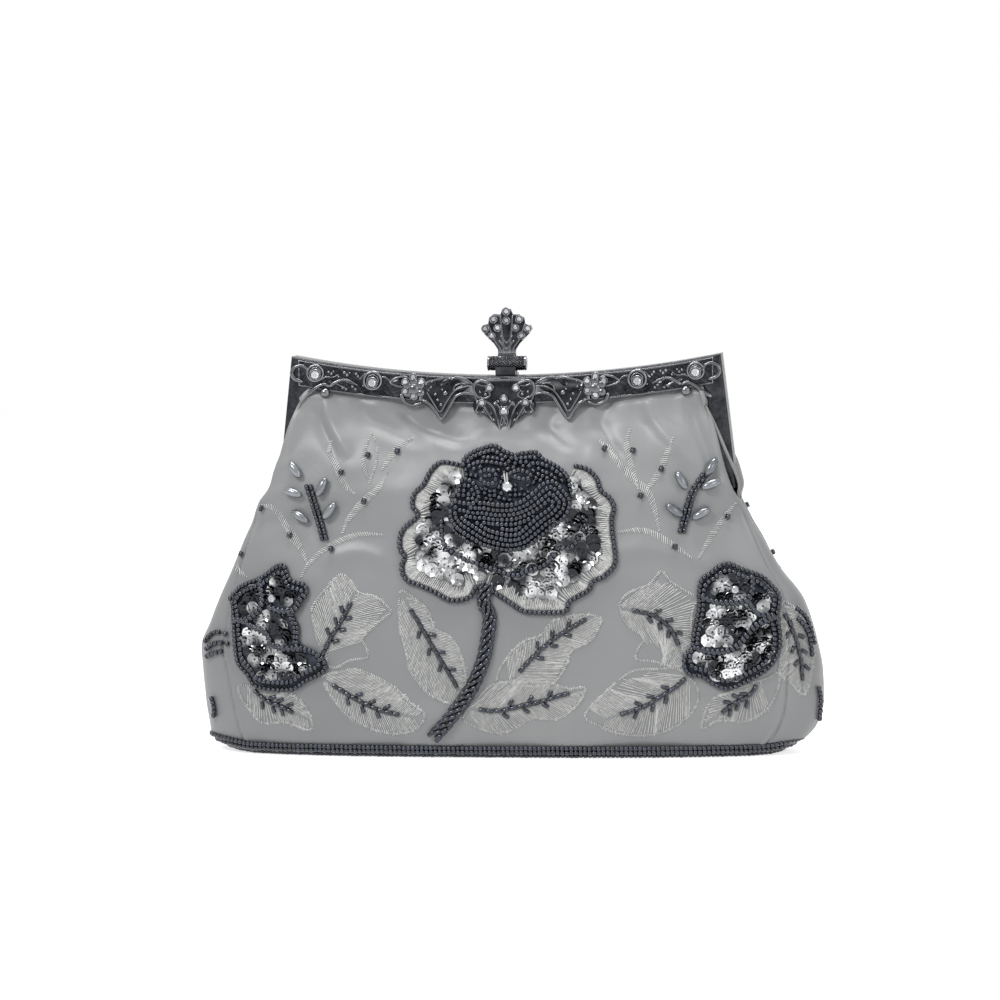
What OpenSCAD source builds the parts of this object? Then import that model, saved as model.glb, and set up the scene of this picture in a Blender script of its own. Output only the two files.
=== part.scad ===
// Framed evening clutch with a swinging rear half and a fan shaped clasp.
// Lengths are in millimetres. X runs along the rail, -Y is the beaded front, Z is up.

/* [Bag body] */
// Widest width of the cloth body
body_w = 262; // [240:1:290]
// Deepest depth of the cloth body
body_d = 59; // [52:1:70]
// Depth of the cloth body at the height of the hinges
hinge_d = 44; // [40:1:50]
// Thickness of the padded outer cloth
cloth_t = 1.6; // [1.2:0.1:2]
// Thickness of the lining
lining_t = 0.6; // [0.4:0.1:0.8]
// Thickness of the base board
board_t = 2; // [1.5:0.1:3]
// Height of the beaded rope round the base
trim_h = 5; // [4:0.1:7]
// Thickness of the beaded rope round the base
trim_t = 2.6; // [2:0.1:3.5]

/* [Frame] */
// Width of the frame across its top corners
frame_w = 181.4; // [170:0.2:192]
// Width of the frame at the hinges
foot_w = 195.4; // [188:0.2:204]
// Height of the top corners of the frame
frame_h = 168; // [162:1:176]
// Height of the hinge axis
hinge_z = 107; // [100:1:112]
// Dip of the rail at its middle
rail_dip = 8.8; // [6:0.1:11]
// Height of the rail face
rail_face = 11.5; // [10:0.1:13]
// Width of the leg face at the top
leg_top_face = 9; // [8:0.1:10]
// Width of the leg face at the hinge
leg_foot_face = 6; // [5:0.1:7]
// Depth of both frame halves together
frame_d = 16; // [15:0.1:19]
// Thickness of the frame's sheet metal
metal_t = 1; // [0.8:0.1:1.1]
// Height of the inner flange that grips the cloth
grip_face = 6; // [5:0.1:7]
// Side of the paper cord that wedges the cloth
cord_side = 2.2; // [1.8:0.1:2.4]

/* [Hinges] */
// Radius of the hinge ears
ear_r = 4.5; // [4:0.1:5]
// Thickness of a hinge ear
ear_t = 1.2; // [1:0.1:1.3]
// Radius of the rivet's shank
rivet_r = 1.5; // [1.2:0.1:1.8]
// Radius of the rivet's heads
rivet_head_r = 3; // [2.6:0.1:3.5]

/* [Clasp] */
// Length of the clasp drum
drum_w = 16.5; // [15:0.1:19]
// Radius of the clasp drum
drum_r = 3.1; // [3:0.1:3.4]
// Wall of the clasp drum
drum_wall = 0.8; // [0.7:0.1:0.9]
// Height of the drum's axis above the middle of the rail
drum_rise = 5; // [4.9:0.1:6]
// How far the drum's axis lies behind the joint of the two halves
drum_back = 1.5; // [1.3:0.1:2]
// Width of the bracket, the catch and the latch tongue
latch_w = 8.5; // [7.5:0.1:9.5]
// Width of the fan
fan_w = 21.8; // [19:0.1:25]
// Height of the fan
fan_h = 18; // [16:0.1:21]
// Thickness of the fan
fan_t = 2.6; // [2:0.1:3.2]

/* [Beadwork] */
// Width of the large rose
rose_w = 90; // [76:1:98]
// Height of the large rose
rose_h = 69; // [60:1:72]
// Height of the large rose's beaded heart above the cloth
rose_t = 5; // [4:0.1:6]
// Width of a side rose
side_rose_w = 39; // [34:1:42]
// Height of a side rose
side_rose_h = 51; // [44:1:54]
// Height of a side rose above the cloth
side_rose_t = 3.2; // [2.4:0.1:4]
// Thickness of the beaded leaves
leaf_t = 1.1; // [0.8:0.1:1.6]
// Width of the beaded stem
stem_w = 6; // [5:0.1:7]
// Length of a rice pearl
pearl_l = 8.9; // [7:0.1:10]
// Thickness of a rice pearl
pearl_t = 4; // [3:0.1:5]

/* [Hidden] */

// Colours
metal_colour = "#3d3f44";
cloth_colour = "#a9abac";
lining_colour = "#77797c";
bead_colour = "#2b3346";
thread_colour = "#c3c5c2";
stone_colour = "#e8eef2";
pearl_colour = "#b4b8bd";

// Clearances and one overrun for cuts
soft_gap = 0.3;
bead_gap = 0.5;
lining_gap = 0.7;
run_gap = 0.05;
head_gap = 0.1;
half_gap = 0.6;
over = 1;

// Fineness of round shapes and of the cloth
$fn = 48;
arc_fn = 360;
cloth_columns = 20;
gusset_columns = 8;
fold_columns = 4;
loop_columns = 64;
outline_power = 2.5;

// Heights and radii that follow from the frame
rail_mid_z = frame_h - rail_dip;
rail_r = (pow(frame_w / 2, 2) + pow(rail_dip, 2)) / (2 * rail_dip);
rail_low_z = rail_mid_z - rail_face;
flange_y = frame_d / 2;
flange_z = hinge_z + ear_r + 0.5 * metal_t;
web_z = flange_z + metal_t;
cord_drop = metal_t + soft_gap;
cloth_drop = cord_drop + cord_side + soft_gap;
cloth_top_z = rail_mid_z - cloth_drop;
tuck_y = flange_y - metal_t - soft_gap;
proud_y = flange_y + soft_gap;
grip_y = tuck_y - cloth_t - lining_t - 2 * soft_gap;

// Cloth rows below the hinge: height, extra width, extra depth and seam angle, each as a share
low_shares = [
    [0.0075, 0.636, 0.107, 0.672], [0.023, 0.786, 0.467, 0.675], [0.056, 0.881, 0.733, 0.68],
    [0.112, 0.939, 0.88, 0.685], [0.206, 0.983, 0.973, 0.695], [0.327, 1, 1, 0.71],
    [0.42, 0.976, 0.96, 0.725], [0.514, 0.874, 0.88, 0.738], [0.617, 0.704, 0.747, 0.753],
    [0.748, 0.452, 0.533, 0.78], [0.888, 0.207, 0.267, 0.83], [0.946, 0.099, 0.133, 0.87],
    [0.955, 0.082, 0.107, 0.87], [1, 0, 0, 0.9]
];
// Cloth rows above the hinge: height, side inset in leg faces, depth and follow of the rail's arc
high_shares = [
    [0, -0.7, 1, 0], [0.12, -0.45, 0.94, 0], [0.27, -0.17, 0.82, 0.08], [0.42, 0.18, 0.686, 0.2],
    [0.59, 0.54, 0.48, 0.45], [0.74, 0.84, 0.21, 0.7], [0.86, 1.08, 0.11, 0.9],
    [0.925, 1.12, 0.06, 0.97], [0.985, 1.12, 0, 1], [2, 1.12, 0, 1]
];
// Lift of the cloth's side edge over the leg flange, by height as a share of the hinge height
lift_shares = [[0, 0], [0.907, 0], [1.047, 1], [1.34, 1]];

panel_rows_shares = [0.0075, 0.023, 0.056, 0.112, 0.206, 0.327, 0.42, 0.514, 0.617, 0.748, 0.888, 0.946];
gusset_rows_shares = [0.0075, 0.023, 0.056, 0.112, 0.206, 0.327, 0.42, 0.514, 0.617, 0.748, 0.888, 0.943];
lining_rows_shares = [0.112, 0.206, 0.42, 0.617, 0.748, 0.878];
front_high_rows_shares = [0.12, 0.27, 0.42, 0.59, 0.74, 0.86, 0.925, 0.985];
flap_rows_shares = [0.5, 0.62, 0.74, 0.86, 0.925, 0.985];
seam_share = 0.006;
seam_top_share = 0.95;
hinge_row_share = 0.957;
tuck_row_share = 0.9;
tucked_share = 0.98;
side_limit_share = 0.985;

// The tucked part of the rear panel lies on circles round the hinge axis, so the flap can pass it
tuck_inset = 0.1;
tuck_r = hinge_d / 2 - tuck_inset;
flap_gap = 0.4;
tuck_angles = [-21, -8, 6, 20, 34, 53];
tuck_half_angle = 57;
flap_low_angle = 45;

// Width, depth and height functions of the cloth
function leg_edge(z) = foot_w / 2 - (z - hinge_z) * (foot_w - frame_w) / 2 / (frame_h - hinge_z);
function leg_face(z) = leg_foot_face + (z - hinge_z) * (leg_top_face - leg_foot_face) / (frame_h - hinge_z);
function arc_z(drop, x) = rail_mid_z + rail_r - sqrt(pow(rail_r + drop, 2) - x * x);
function column(shares, k) = [for (row = shares) [row[0], row[k]]];
function high_t(z) = (z - hinge_z) / (rail_low_z - hinge_z);
function high_z(t) = hinge_z + t * (rail_low_z - hinge_z);
function arc_rise(x) = arc_z(cloth_drop, x) - arc_z(cloth_drop, 0);
function corner_z(t) = high_z(t) + lookup(t, column(high_shares, 3)) * arc_rise(frame_w / 2);
function high_a(t) = leg_edge(corner_z(t)) - lookup(t, column(high_shares, 1)) * leg_face(corner_z(t));
function high_b(t) = tuck_y + (hinge_d / 2 - tuck_y) * lookup(t, column(high_shares, 2));
function low_a(s) = high_a(0) + (body_w / 2 - high_a(0)) * lookup(s, column(low_shares, 1));
function low_b(s) = hinge_d / 2 + (body_d - hinge_d) / 2 * lookup(s, column(low_shares, 2));
function body_a(z) = z < hinge_z ? low_a(z / hinge_z) : high_a(high_t(z));
function body_b(z) = z < hinge_z ? low_b(z / hinge_z) : high_b(high_t(z));
function tucked(z) = z > high_z(tucked_share);
function lift(z) = lookup(z / hinge_z, lift_shares);
function edge_y(z, depth) = tucked(z) ? tuck_y - depth : lift(z) * (proud_y + cloth_t - depth);
function power_cos(s) = pow(max(0, 1 - pow(abs(s), outline_power)), 1 / outline_power);

// Point of the cloth on the angle turn, measured from the middle of the front, at a depth into it.
// Face is -1 on a front sheet, 1 on a rear sheet and 0 on one that goes round the side.
function side_of(turn, face) = face == 0 ? -sign(cos(turn)) : face;
function follow(z) = z < hinge_z ? 0 : lookup(high_t(z), column(high_shares, 3));
function cloth_point(z, turn, depth, face = 0) =
    let (e = edge_y(z, depth), c = power_cos(sin(turn)), b = body_b(z) - depth)
    let (x = (body_a(z) - depth) * sin(turn))
    [x, side_of(turn, face) * (e + (b - e) * c), z + follow(z) * arc_rise(x)];

// Row that reaches the height z at the place x, since the upper rows follow the rail's arc
function row_of(x, z, row, steps = 4) = steps == 0 ? row : row_of(x, z, z - follow(row) * arc_rise(x), steps - 1);

// Height of the front cloth towards the viewer, and a point lifted off it along its normal
function front_y(x, z) =
    let (row = row_of(x, z, z))
    let (s = min(side_limit_share, abs(x) / body_a(row)), e = edge_y(row, 0))
    -(e + (body_b(row) - e) * power_cos(s));
function off_cloth(x, z, h) =
    let (d = metal_t / 2)
    let (gx = (front_y(x + d, z) - front_y(x - d, z)) / (2 * d))
    let (gz = (front_y(x, z + d) - front_y(x, z - d)) / (2 * d))
    let (n = [gx, -1, gz] / norm([gx, -1, gz]))
    [x, front_y(x, z), z] + n * h;

function reversed(row) = [for (i = [len(row) - 1:-1:0]) row[i]];

// Solid between rings of points, each ring counter-clockwise seen against the run of the rings
module loft(rings, closed = false) {
    n = len(rings[0]);
    last = len(rings) - 1;
    half = n / 2;
    steps = closed ? last : last - 1;
    points = [for (ring = rings) for (p = ring) p];
    sides = [for (r = [0:steps]) for (c = [0:n - 1])
        let (a = r * n + c, b = r * n + (c + 1) % n)
        let (up = ((r + 1) % len(rings)) * n)
        each [[a, up + c, up + (c + 1) % n], [a, up + (c + 1) % n, b]]];
    caps = closed ? [] : [for (i = [0:half - 2])
        let (a = i, b = i + 1, c = n - 2 - i, d = n - 1 - i, top = last * n)
        each [[a, b, c], [a, c, d], [top + a, top + c, top + b], [top + a, top + d, top + c]]];
    polyhedron(points = points, faces = concat(sides, caps), convexity = 6);
}

// Ring of a cloth sheet: the outer face one way and the inner face back
function sheet_ring(z, from, to, columns, face) =
    let (turns = [for (i = [0:columns]) from + (to - from) * i / columns])
    concat([for (a = turns) cloth_point(z, a, 0, face)], reversed([for (a = turns) cloth_point(z, a, cloth_t, face)]));

function seam_turn(z) = 90 * lookup(z / hinge_z, column(low_shares, 3));

// Extrusion of a front view outline from one depth to the next
module slab(y0, y1) {
    translate([0, -y0, 0]) rotate([90, 0, 0]) linear_extrude(y1 - y0) children();
}

module arc_disc(drop) {
    translate([0, rail_mid_z + rail_r]) circle(r = rail_r + drop, $fn = arc_fn);
}

module outer_plan(z0) {
    polygon([[leg_edge(z0), z0], [leg_edge(frame_h), frame_h], [-leg_edge(frame_h), frame_h], [-leg_edge(z0), z0]]);
}

module inner_plan(z0, foot_face, top_face) {
    low = leg_edge(z0 - over) - foot_face;
    high = leg_edge(frame_h) - top_face;
    polygon([[low, z0 - over], [high, frame_h], [-high, frame_h], [-low, z0 - over]]);
}

module u_outline(z0, foot_face, top_face, rail) {
    difference() {
        outer_plan(z0);
        arc_disc(0);
        difference() {
            inner_plan(z0, foot_face, top_face);
            arc_disc(rail);
        }
    }
}

// One half of the frame: web, front flange and grip flange, without its ears
module frame_channel() {
    slab(half_gap / 2, flange_y) u_outline(web_z, metal_t, metal_t, metal_t);
    slab(flange_y - metal_t, flange_y) u_outline(flange_z, leg_foot_face, leg_top_face, rail_face);
    slab(grip_y - metal_t, grip_y) u_outline(web_z, leg_foot_face - metal_t, leg_top_face - metal_t, grip_face);
}

ear_lap = 0.7;
rear_ear_x = leg_edge(web_z) - ear_lap;
front_ear_x = rear_ear_x - soft_gap - ear_t;

module ear(x0) {
    difference() {
        union() {
            translate([x0, 0, hinge_z]) rotate([0, 90, 0]) cylinder(r = ear_r, h = ear_t);
            translate([x0, -ear_r, hinge_z]) cube([ear_t, ear_r - half_gap / 2, web_z - hinge_z + 2 * metal_t]);
        }
        translate([x0 - over, 0, hinge_z]) rotate([0, 90, 0]) cylinder(r = rivet_r + run_gap, h = ear_t + 2 * over);
    }
}

module frame_half(ear_x) {
    frame_channel();
    ear(ear_x);
    mirror([1, 0, 0]) ear(ear_x);
}

module front_frame() {
    color(metal_colour) frame_half(front_ear_x);
}

module rear_frame() {
    color(metal_colour) mirror([0, 1, 0]) frame_half(rear_ear_x);
}

module hinge_rivet() {
    inner_x = front_ear_x - head_gap;
    outer_x = rear_ear_x + ear_t + head_gap;
    translate([inner_x - metal_t, 0, hinge_z]) rotate([0, 90, 0]) cylinder(r = rivet_head_r, h = metal_t);
    translate([inner_x - metal_t, 0, hinge_z]) rotate([0, 90, 0]) cylinder(r = rivet_r, h = outer_x - inner_x + metal_t);
    translate([outer_x, 0, hinge_z]) rotate([0, 90, 0]) cylinder(r = rivet_head_r, h = metal_t);
}

module right_hinge_rivet() {
    color(metal_colour) hinge_rivet();
}

module left_hinge_rivet() {
    color(metal_colour) mirror([1, 0, 0]) hinge_rivet();
}

module hem_cord() {
    reach = high_a(high_t(cloth_top_z)) - cord_side;
    slab(tuck_y - cord_side, tuck_y) intersection() {
        difference() {
            arc_disc(cord_drop + cord_side);
            arc_disc(cord_drop);
        }
        translate([-reach, rail_low_z]) square([2 * reach, frame_h - rail_low_z]);
    }
}

module front_hem_cord() {
    color(thread_colour) hem_cord();
}

module rear_hem_cord() {
    color(thread_colour) mirror([0, 1, 0]) hem_cord();
}

// Rail ornament: a cast band with ring seats, flowers, drops, scrolls and a middle medallion
band_t = 0.7;
band_margin = 1.1;
relief_t = 1.3;
drop_lift = 2.2;
drop_t = 1.5;
seat_r = 3.4;
scroll_r = 0.8;
petal_r = 2.1;
flower_r = 4;
stone_r = 1.05;
seat_stone_r = 1.6;
tear_stone_r = 1.35;
stone_t = 1;
ball_r = 2.1;
ball_x_share = 0.85;
ball_z_share = 0.95;
medallion_w = 26.4;
medallion_h = 20.5;
band_reach_share = 0.9;
seat_x_shares = [-0.885, -0.617, 0.617, 0.885];
flower_x_shares = [-0.424, 0.424];
// Medallion outline, x as a share of its half width and z as a share of its height from the top
medallion_shares = [[-0.7, 0], [-1, -0.18], [-1, -0.5], [-0.95, -0.7], [-0.5, -0.88], [-0.2, -1],
    [0.2, -0.94], [0.7, -0.78], [0.96, -0.62], [1, -0.18], [0.7, 0]];
teardrop_share = 0.68;
medallion_stone_shares = [[-0.46, -0.2], [0.39, -0.2], [0, -0.42], [-0.7, -0.5], [0.69, -0.5]];
// Pointed drops beside the medallion, x as a share of half the frame and z as a share of the rail face
drop_shares = [[0.36, -0.75], [0.31, -1.5], [0.25, -1.05], [0.18, -0.6], [0.25, -0.3], [0.34, -0.3]];
// Scrolls along the band: x share, height share, radius share, start and end angle
scroll_shares = [[0.79, 0.62, 0.42, 20, 160], [0.71, 0.5, 0.36, 190, 350],
    [0.53, 0.5, 0.36, 10, 170], [0.25, 0.45, 0.34, 20, 250]];

function rail_x(share) = share * frame_w / 2;
function band_z(x, share) = arc_z(share * rail_face, x);
face_y = flange_y + band_t;
stone_y = face_y + relief_t;
corner_scroll_r = 3;
corner_scroll_x = rail_x(seat_x_shares[3]) + seat_r + corner_scroll_r;
corner_scroll_from = -60;
corner_scroll_to = 230;
drop_back_y = flange_y + drop_lift;
drop_face_y = drop_back_y + drop_t;
medallion_top_z = rail_mid_z - scroll_r;

module disc_at(x, z, r, y0, y1) {
    translate([x, -y0, z]) rotate([90, 0, 0]) cylinder(r = r, h = y1 - y0);
}

module scroll_at(x, z, r, from, to) {
    translate([x, -flange_y - scroll_r, z]) rotate([90, 0, 0]) rotate([0, 0, from])
        rotate_extrude(angle = to - from, $fn = 32) translate([r, 0]) circle(r = scroll_r, $fn = 16);
}

// The same scroll on either side, its opening mirrored on the left
module side_scroll(side, x, z_share, r, from, to) {
    low = side > 0 ? from : 180 - to;
    high = side > 0 ? to : 180 - from;
    scroll_at(side * x, band_z(x, z_share), r, low, high);
}

module flower_spots(x) {
    z = band_z(x, 0.5);
    translate([x, z]) children();
    for (k = [0:5]) translate([x + flower_r * cos(60 * k + 30), z + flower_r * sin(60 * k + 30)]) children();
}

module flower_plan() {
    for (x_share = flower_x_shares) flower_spots(rail_x(x_share)) circle(r = petal_r, $fn = 24);
    for (x_share = seat_x_shares) translate([rail_x(x_share), band_z(rail_x(x_share), 0.5)]) circle(r = seat_r);
}

// Medallion and pointed drops, which hang below the rail in front of the cloth
module drop_plan() {
    translate([0, medallion_top_z])
        polygon([for (p = medallion_shares) [p[0] * medallion_w / 2, p[1] * medallion_h]]);
    for (side = [-1, 1])
        polygon([for (p = drop_shares) [side * rail_x(p[0]), arc_z(0, rail_x(p[0])) + p[1] * rail_face]]);
}

module rail_ornament() {
    reach = rail_x(band_reach_share);
    slab(flange_y, face_y) difference() {
        intersection() {
            arc_disc(rail_face - band_margin);
            translate([-reach, rail_low_z]) square([2 * reach, frame_h - rail_low_z]);
        }
        arc_disc(band_margin);
    }
    slab(flange_y, stone_y) flower_plan();
    slab(drop_back_y, drop_face_y) drop_plan();
    slab(flange_y, drop_back_y) intersection() {
        drop_plan();
        arc_disc(rail_face);
    }
    for (side = [-1, 1]) {
        for (s = scroll_shares) side_scroll(side, rail_x(s[0]), s[1], s[2] * rail_face, s[3], s[4]);
        side_scroll(side, corner_scroll_x, 0.5, corner_scroll_r, corner_scroll_from, corner_scroll_to);
        x_ball = side * rail_x(ball_x_share);
        z_ball = band_z(x_ball, ball_z_share);
        disc_at(x_ball, z_ball, ball_r / 2, flange_y, drop_face_y);
        translate([x_ball, -drop_face_y, z_ball]) sphere(r = ball_r, $fn = 24);
    }
}

module front_rail_ornament() {
    color(metal_colour) rail_ornament();
}

module rear_rail_ornament() {
    color(metal_colour) rotate([0, 0, 180]) rail_ornament();
}

module stone(x, z, r, y) {
    translate([x, -y, z]) rotate([90, 0, 0]) cylinder(r = r, h = stone_t / 2, $fn = 24);
    translate([x, -y - stone_t / 2, z]) rotate([90, 0, 0]) cylinder(r1 = r, r2 = r / 2, h = stone_t / 2, $fn = 24);
}

module rail_stones() {
    color(stone_colour) {
        for (x_share = seat_x_shares) {
            x = rail_x(x_share);
            stone(x, band_z(x, 0.5), seat_stone_r, stone_y);
        }
        for (x_share = flower_x_shares) {
            x = rail_x(x_share);
            z = band_z(x, 0.5);
            stone(x, z, stone_r, stone_y);
            for (k = [0:4])
                stone(x + flower_r * cos(60 * k + 30), z + flower_r * sin(60 * k + 30), stone_r, stone_y);
        }
        for (p = medallion_stone_shares)
            stone(p[0] * medallion_w / 2, medallion_top_z + p[1] * medallion_h, stone_r, drop_face_y);
        stone(0, medallion_top_z - teardrop_share * medallion_h, tear_stone_r, drop_face_y);
    }
}

// Clasp: bracket on the rear rail, drum on its pin, latch tongue and the fan
drum_y = drum_back;
drum_z = rail_mid_z + drum_rise;
seat_z = arc_z(0, latch_w / 2) + run_gap;
pin_r = 0.8;
lug_r = drum_r - drum_wall - flap_gap;
lug_t = 2.4;
rim_w = 1;
groove = 0.25;
neck_w = 8;
neck_t = 3.1;
neck_h = 2.2;
pad_z = drum_r + groove;
base_t = 0.8;
post_t = 2.5;
post_h = 1.8;
post_y = flange_y - 3.5;
tongue_t = 0.5;
arm_rise = 1.2;
fan_low_z = drum_z + pad_z + neck_h;

module along_x(x0, x1, r) {
    translate([x0, 0, 0]) rotate([0, 90, 0]) cylinder(r = r, h = x1 - x0);
}

module clasp_bracket() {
    color(metal_colour) difference() {
        union() {
            translate([0, drum_y, drum_z]) along_x(-latch_w / 2, latch_w / 2, lug_r);
            translate([-latch_w / 2, drum_y - lug_t / 2, seat_z]) cube([latch_w, lug_t, drum_z - seat_z]);
            translate([-latch_w / 2, half_gap, seat_z]) cube([latch_w, flange_y - 2 * half_gap, base_t]);
        }
        translate([0, drum_y, drum_z]) along_x(-latch_w, latch_w, pin_r + run_gap);
    }
}

module clasp_pin() {
    color(metal_colour) translate([0, drum_y, drum_z]) along_x(-drum_w / 2, drum_w / 2, pin_r);
}

module clasp_drum() {
    slot = latch_w + 2 * soft_gap;
    color(metal_colour) translate([0, drum_y, drum_z]) difference() {
        union() {
            along_x(-drum_w / 2, drum_w / 2, drum_r - groove);
            along_x(-drum_w / 2, rim_w * 1.5 - drum_w / 2, drum_r);
            along_x(drum_w / 2 - rim_w * 1.5, drum_w / 2, drum_r);
            translate([-neck_w / 2, -neck_t / 2, 0]) cube([neck_w, neck_t, pad_z]);
        }
        along_x(-drum_w / 2 + rim_w, drum_w / 2 - rim_w, drum_r - drum_wall);
        along_x(-drum_w, drum_w, pin_r + run_gap);
        translate([-slot / 2, -lug_r, -drum_r - over]) cube([slot, 2 * drum_r, over + drum_r]);
    }
}

module catch_post() {
    color(metal_colour) translate([-latch_w / 2, -post_y, seat_z]) cube([latch_w, post_t, post_h]);
}

module latch_tongue() {
    front = -post_y - soft_gap - tongue_t;
    arm_z = seat_z + post_h + arm_rise;
    color(metal_colour) difference() {
        union() {
            translate([-latch_w / 2, front, seat_z + tongue_t]) cube([latch_w, tongue_t, arm_z - seat_z]);
            translate([-latch_w / 2, front, arm_z]) cube([latch_w, drum_y - front, tongue_t]);
        }
        translate([0, drum_y, drum_z]) along_x(-latch_w, latch_w, drum_r - groove + run_gap);
    }
}

// Lobes of the fan: x as a share of its half width, z as a share of its height
fan_lobe_shares = [[-0.78, 0.5], [-0.5, 0.74], [0, 0.86], [0.5, 0.74], [0.78, 0.5]];
fan_lobe_r = 2.8;
fan_body_shares = [[-0.3, 0], [-0.66, 0.32], [-0.82, 0.5], [-0.5, 0.74], [0, 0.86], [0.5, 0.74], [0.82, 0.5],
    [0.66, 0.32], [0.3, 0]];
fan_stone_shares = [[0, 0.9], [-0.5, 0.72], [0, 0.69], [0.5, 0.72], [-0.83, 0.5], [-0.35, 0.52],
    [0.35, 0.52], [0.83, 0.5], [-0.58, 0.33], [0.58, 0.33]];
fan_stone_r = 1;

module fan_knob() {
    color(metal_colour) translate([0, drum_y, 0]) {
        translate([-neck_w / 2, -neck_t / 2, drum_z + pad_z]) cube([neck_w, neck_t, neck_h]);
        translate([0, 0, fan_low_z]) slab(-fan_t / 2, fan_t / 2) {
            polygon([for (p = fan_body_shares) [p[0] * fan_w / 2, p[1] * fan_h]]);
            for (p = fan_lobe_shares) translate([p[0] * fan_w / 2, p[1] * fan_h]) circle(r = fan_lobe_r, $fn = 32);
        }
    }
}

module fan_stones() {
    color(stone_colour) translate([0, drum_y, fan_low_z])
        for (p = fan_stone_shares) stone(p[0] * fan_w / 2, p[1] * fan_h, fan_stone_r, fan_t / 2);
}

// Cloth panels
function front_rows() = concat([for (s = panel_rows_shares) s * hinge_z], [hinge_row_share * hinge_z, hinge_z],
    [for (t = front_high_rows_shares) high_z(t)], [cloth_top_z]);

module front_panel() {
    color(cloth_colour) loft([for (z = front_rows())
        let (turn = z < seam_top_share * hinge_z ? seam_turn(z) - 90 * seam_share : 90)
        sheet_ring(z, -turn, turn, cloth_columns, -1)]);
}

module gusset() {
    loft([for (s = gusset_rows_shares)
        let (z = s * hinge_z, turn = seam_turn(z) + 90 * seam_share)
        sheet_ring(z, turn, 180 - turn, gusset_columns, 0)]);
}

module right_gusset() {
    color(cloth_colour) gusset();
}

module left_gusset() {
    color(cloth_colour) mirror([1, 0, 0]) gusset();
}

// Point on the tucked circles of the rear panel
function tuck_point(angle, turn, r) = let (c = power_cos(sin(turn)), x = high_a(0) * sin(turn))
    [-x, r * c * cos(angle), hinge_z + r * c * sin(angle)];

function tuck_ring(angle) =
    let (turns = [for (i = [0:cloth_columns]) tuck_half_angle * (2 * i / cloth_columns - 1)])
    concat([for (a = turns) tuck_point(angle, a, tuck_r)], reversed([for (a = turns) tuck_point(angle, a, tuck_r - cloth_t)]));

module rear_panel() {
    plain_rows = [for (s = panel_rows_shares) if (s < tuck_row_share) s * hinge_z];
    color(cloth_colour) loft(concat(
        [for (z = plain_rows)
            let (turn = seam_turn(z) - 90 * seam_share)
            sheet_ring(z, 180 - turn, 180 + turn, cloth_columns, 1)],
        [for (angle = tuck_angles) tuck_ring(angle)]));
}

// Lower edge of the flap: clear of the tucked circles in the middle and high over the leg flange at the sides
flap_r = tuck_r + flap_gap + cloth_t;
flap_side_y = proud_y + cloth_t;
flap_side_rise = 2 * ear_r;
function flap_low_point(turn, depth) =
    let (c = power_cos(sin(turn)), mid_y = flap_r * cos(flap_low_angle))
    let (x = (high_a(high_t(hinge_z + flap_side_rise)) - depth) * sin(turn))
    let (rise = flap_side_rise + (flap_r * sin(flap_low_angle) - flap_side_rise) * c)
    [-x, flap_side_y - depth + (mid_y - flap_side_y) * c, hinge_z + rise];

module rear_flap() {
    turns = [for (i = [0:cloth_columns]) 90 * (2 * i / cloth_columns - 1)];
    low = concat([for (a = turns) flap_low_point(a, 0)], reversed([for (a = turns) flap_low_point(a, cloth_t)]));
    rows = concat([for (t = flap_rows_shares) high_z(t)], [cloth_top_z]);
    color(cloth_colour) loft(concat([low],
        [for (z = rows) sheet_ring(z, 90, 270, cloth_columns, 1)]));
}

// Small folds that fill the corner between gusset, rear panel and flap beside each hinge
fold_in_x = high_a(0) * sin(tuck_half_angle) + 2 * soft_gap;
fold_out_x = foot_w / 2 + metal_t;
fold_t = 0.8;
fold_slope_share = 0.35;
fold_corner_z = tuck_point(tuck_angles[0], tuck_half_angle, tuck_r)[2] + 2 * soft_gap;
function fold_low_z(x) = fold_corner_z - fold_slope_share * (x - fold_in_x);
function fold_turn(x, a) = asin(min(1, x / a));

module side_fold() {
    loft([for (k = [0:3])
        let (share = k / 3)
        let (xs = [for (i = [0:fold_columns]) fold_in_x + (fold_out_x - fold_in_x) * i / fold_columns])
        let (outer = [for (x = xs)
            let (z0 = fold_low_z(x), y0 = max(-front_y(x, z0), proud_y + fold_t))
            let (turn = fold_turn(x, high_a(high_t(hinge_z + flap_side_rise))), top = flap_low_point(turn, 0))
            let (z1 = top[2] - soft_gap - fold_t, y1 = top[1])
            [x, y0 + (y1 - y0) * share, z0 + (z1 - z0) * share]])
        concat(reversed(outer), [for (p = outer) p - [0, fold_t, 0]])]);
}

module side_folds() {
    color(cloth_colour) {
        side_fold();
        mirror([1, 0, 0]) side_fold();
    }
}

// Flat pieces in the base
floor_z = low_shares[1][0] * hinge_z;
function base_outline(z, inset) = [for (i = [0:loop_columns - 1])
    let (p = cloth_point(z, 360 * i / loop_columns, inset)) [p[0], p[1]]];

module bottom_panel() {
    inset = cloth_t + bead_gap + soft_gap;
    color(cloth_colour) linear_extrude(cloth_t) polygon(base_outline(low_shares[0][0] * hinge_z, inset));
}

module base_board() {
    inset = 4 * cloth_t;
    color(lining_colour) translate([0, 0, cloth_t + soft_gap]) linear_extrude(board_t)
        polygon(base_outline(floor_z, inset));
}

function loop_point(z, turn) = let (p = cloth_point(z, turn, 0)) [p[0], p[1]];

module base_trim() {
    z = trim_h + soft_gap;
    color(bead_colour) loft([for (i = [0:loop_columns - 1])
        let (turn = 360 * i / loop_columns, p = loop_point(z, turn), q = loop_point(z, turn + 1))
        let (run = (q - p) / norm(q - p), out = [run[1], -run[0]])
        [for (k = [0:5])
            let (away = soft_gap + trim_t / 2 * (1 - cos(60 * k + 30)), xy = p + out * away)
            [xy[0], xy[1], soft_gap + trim_h / 2 * (1 + sin(60 * k + 30))]]], closed = true);
}

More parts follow.
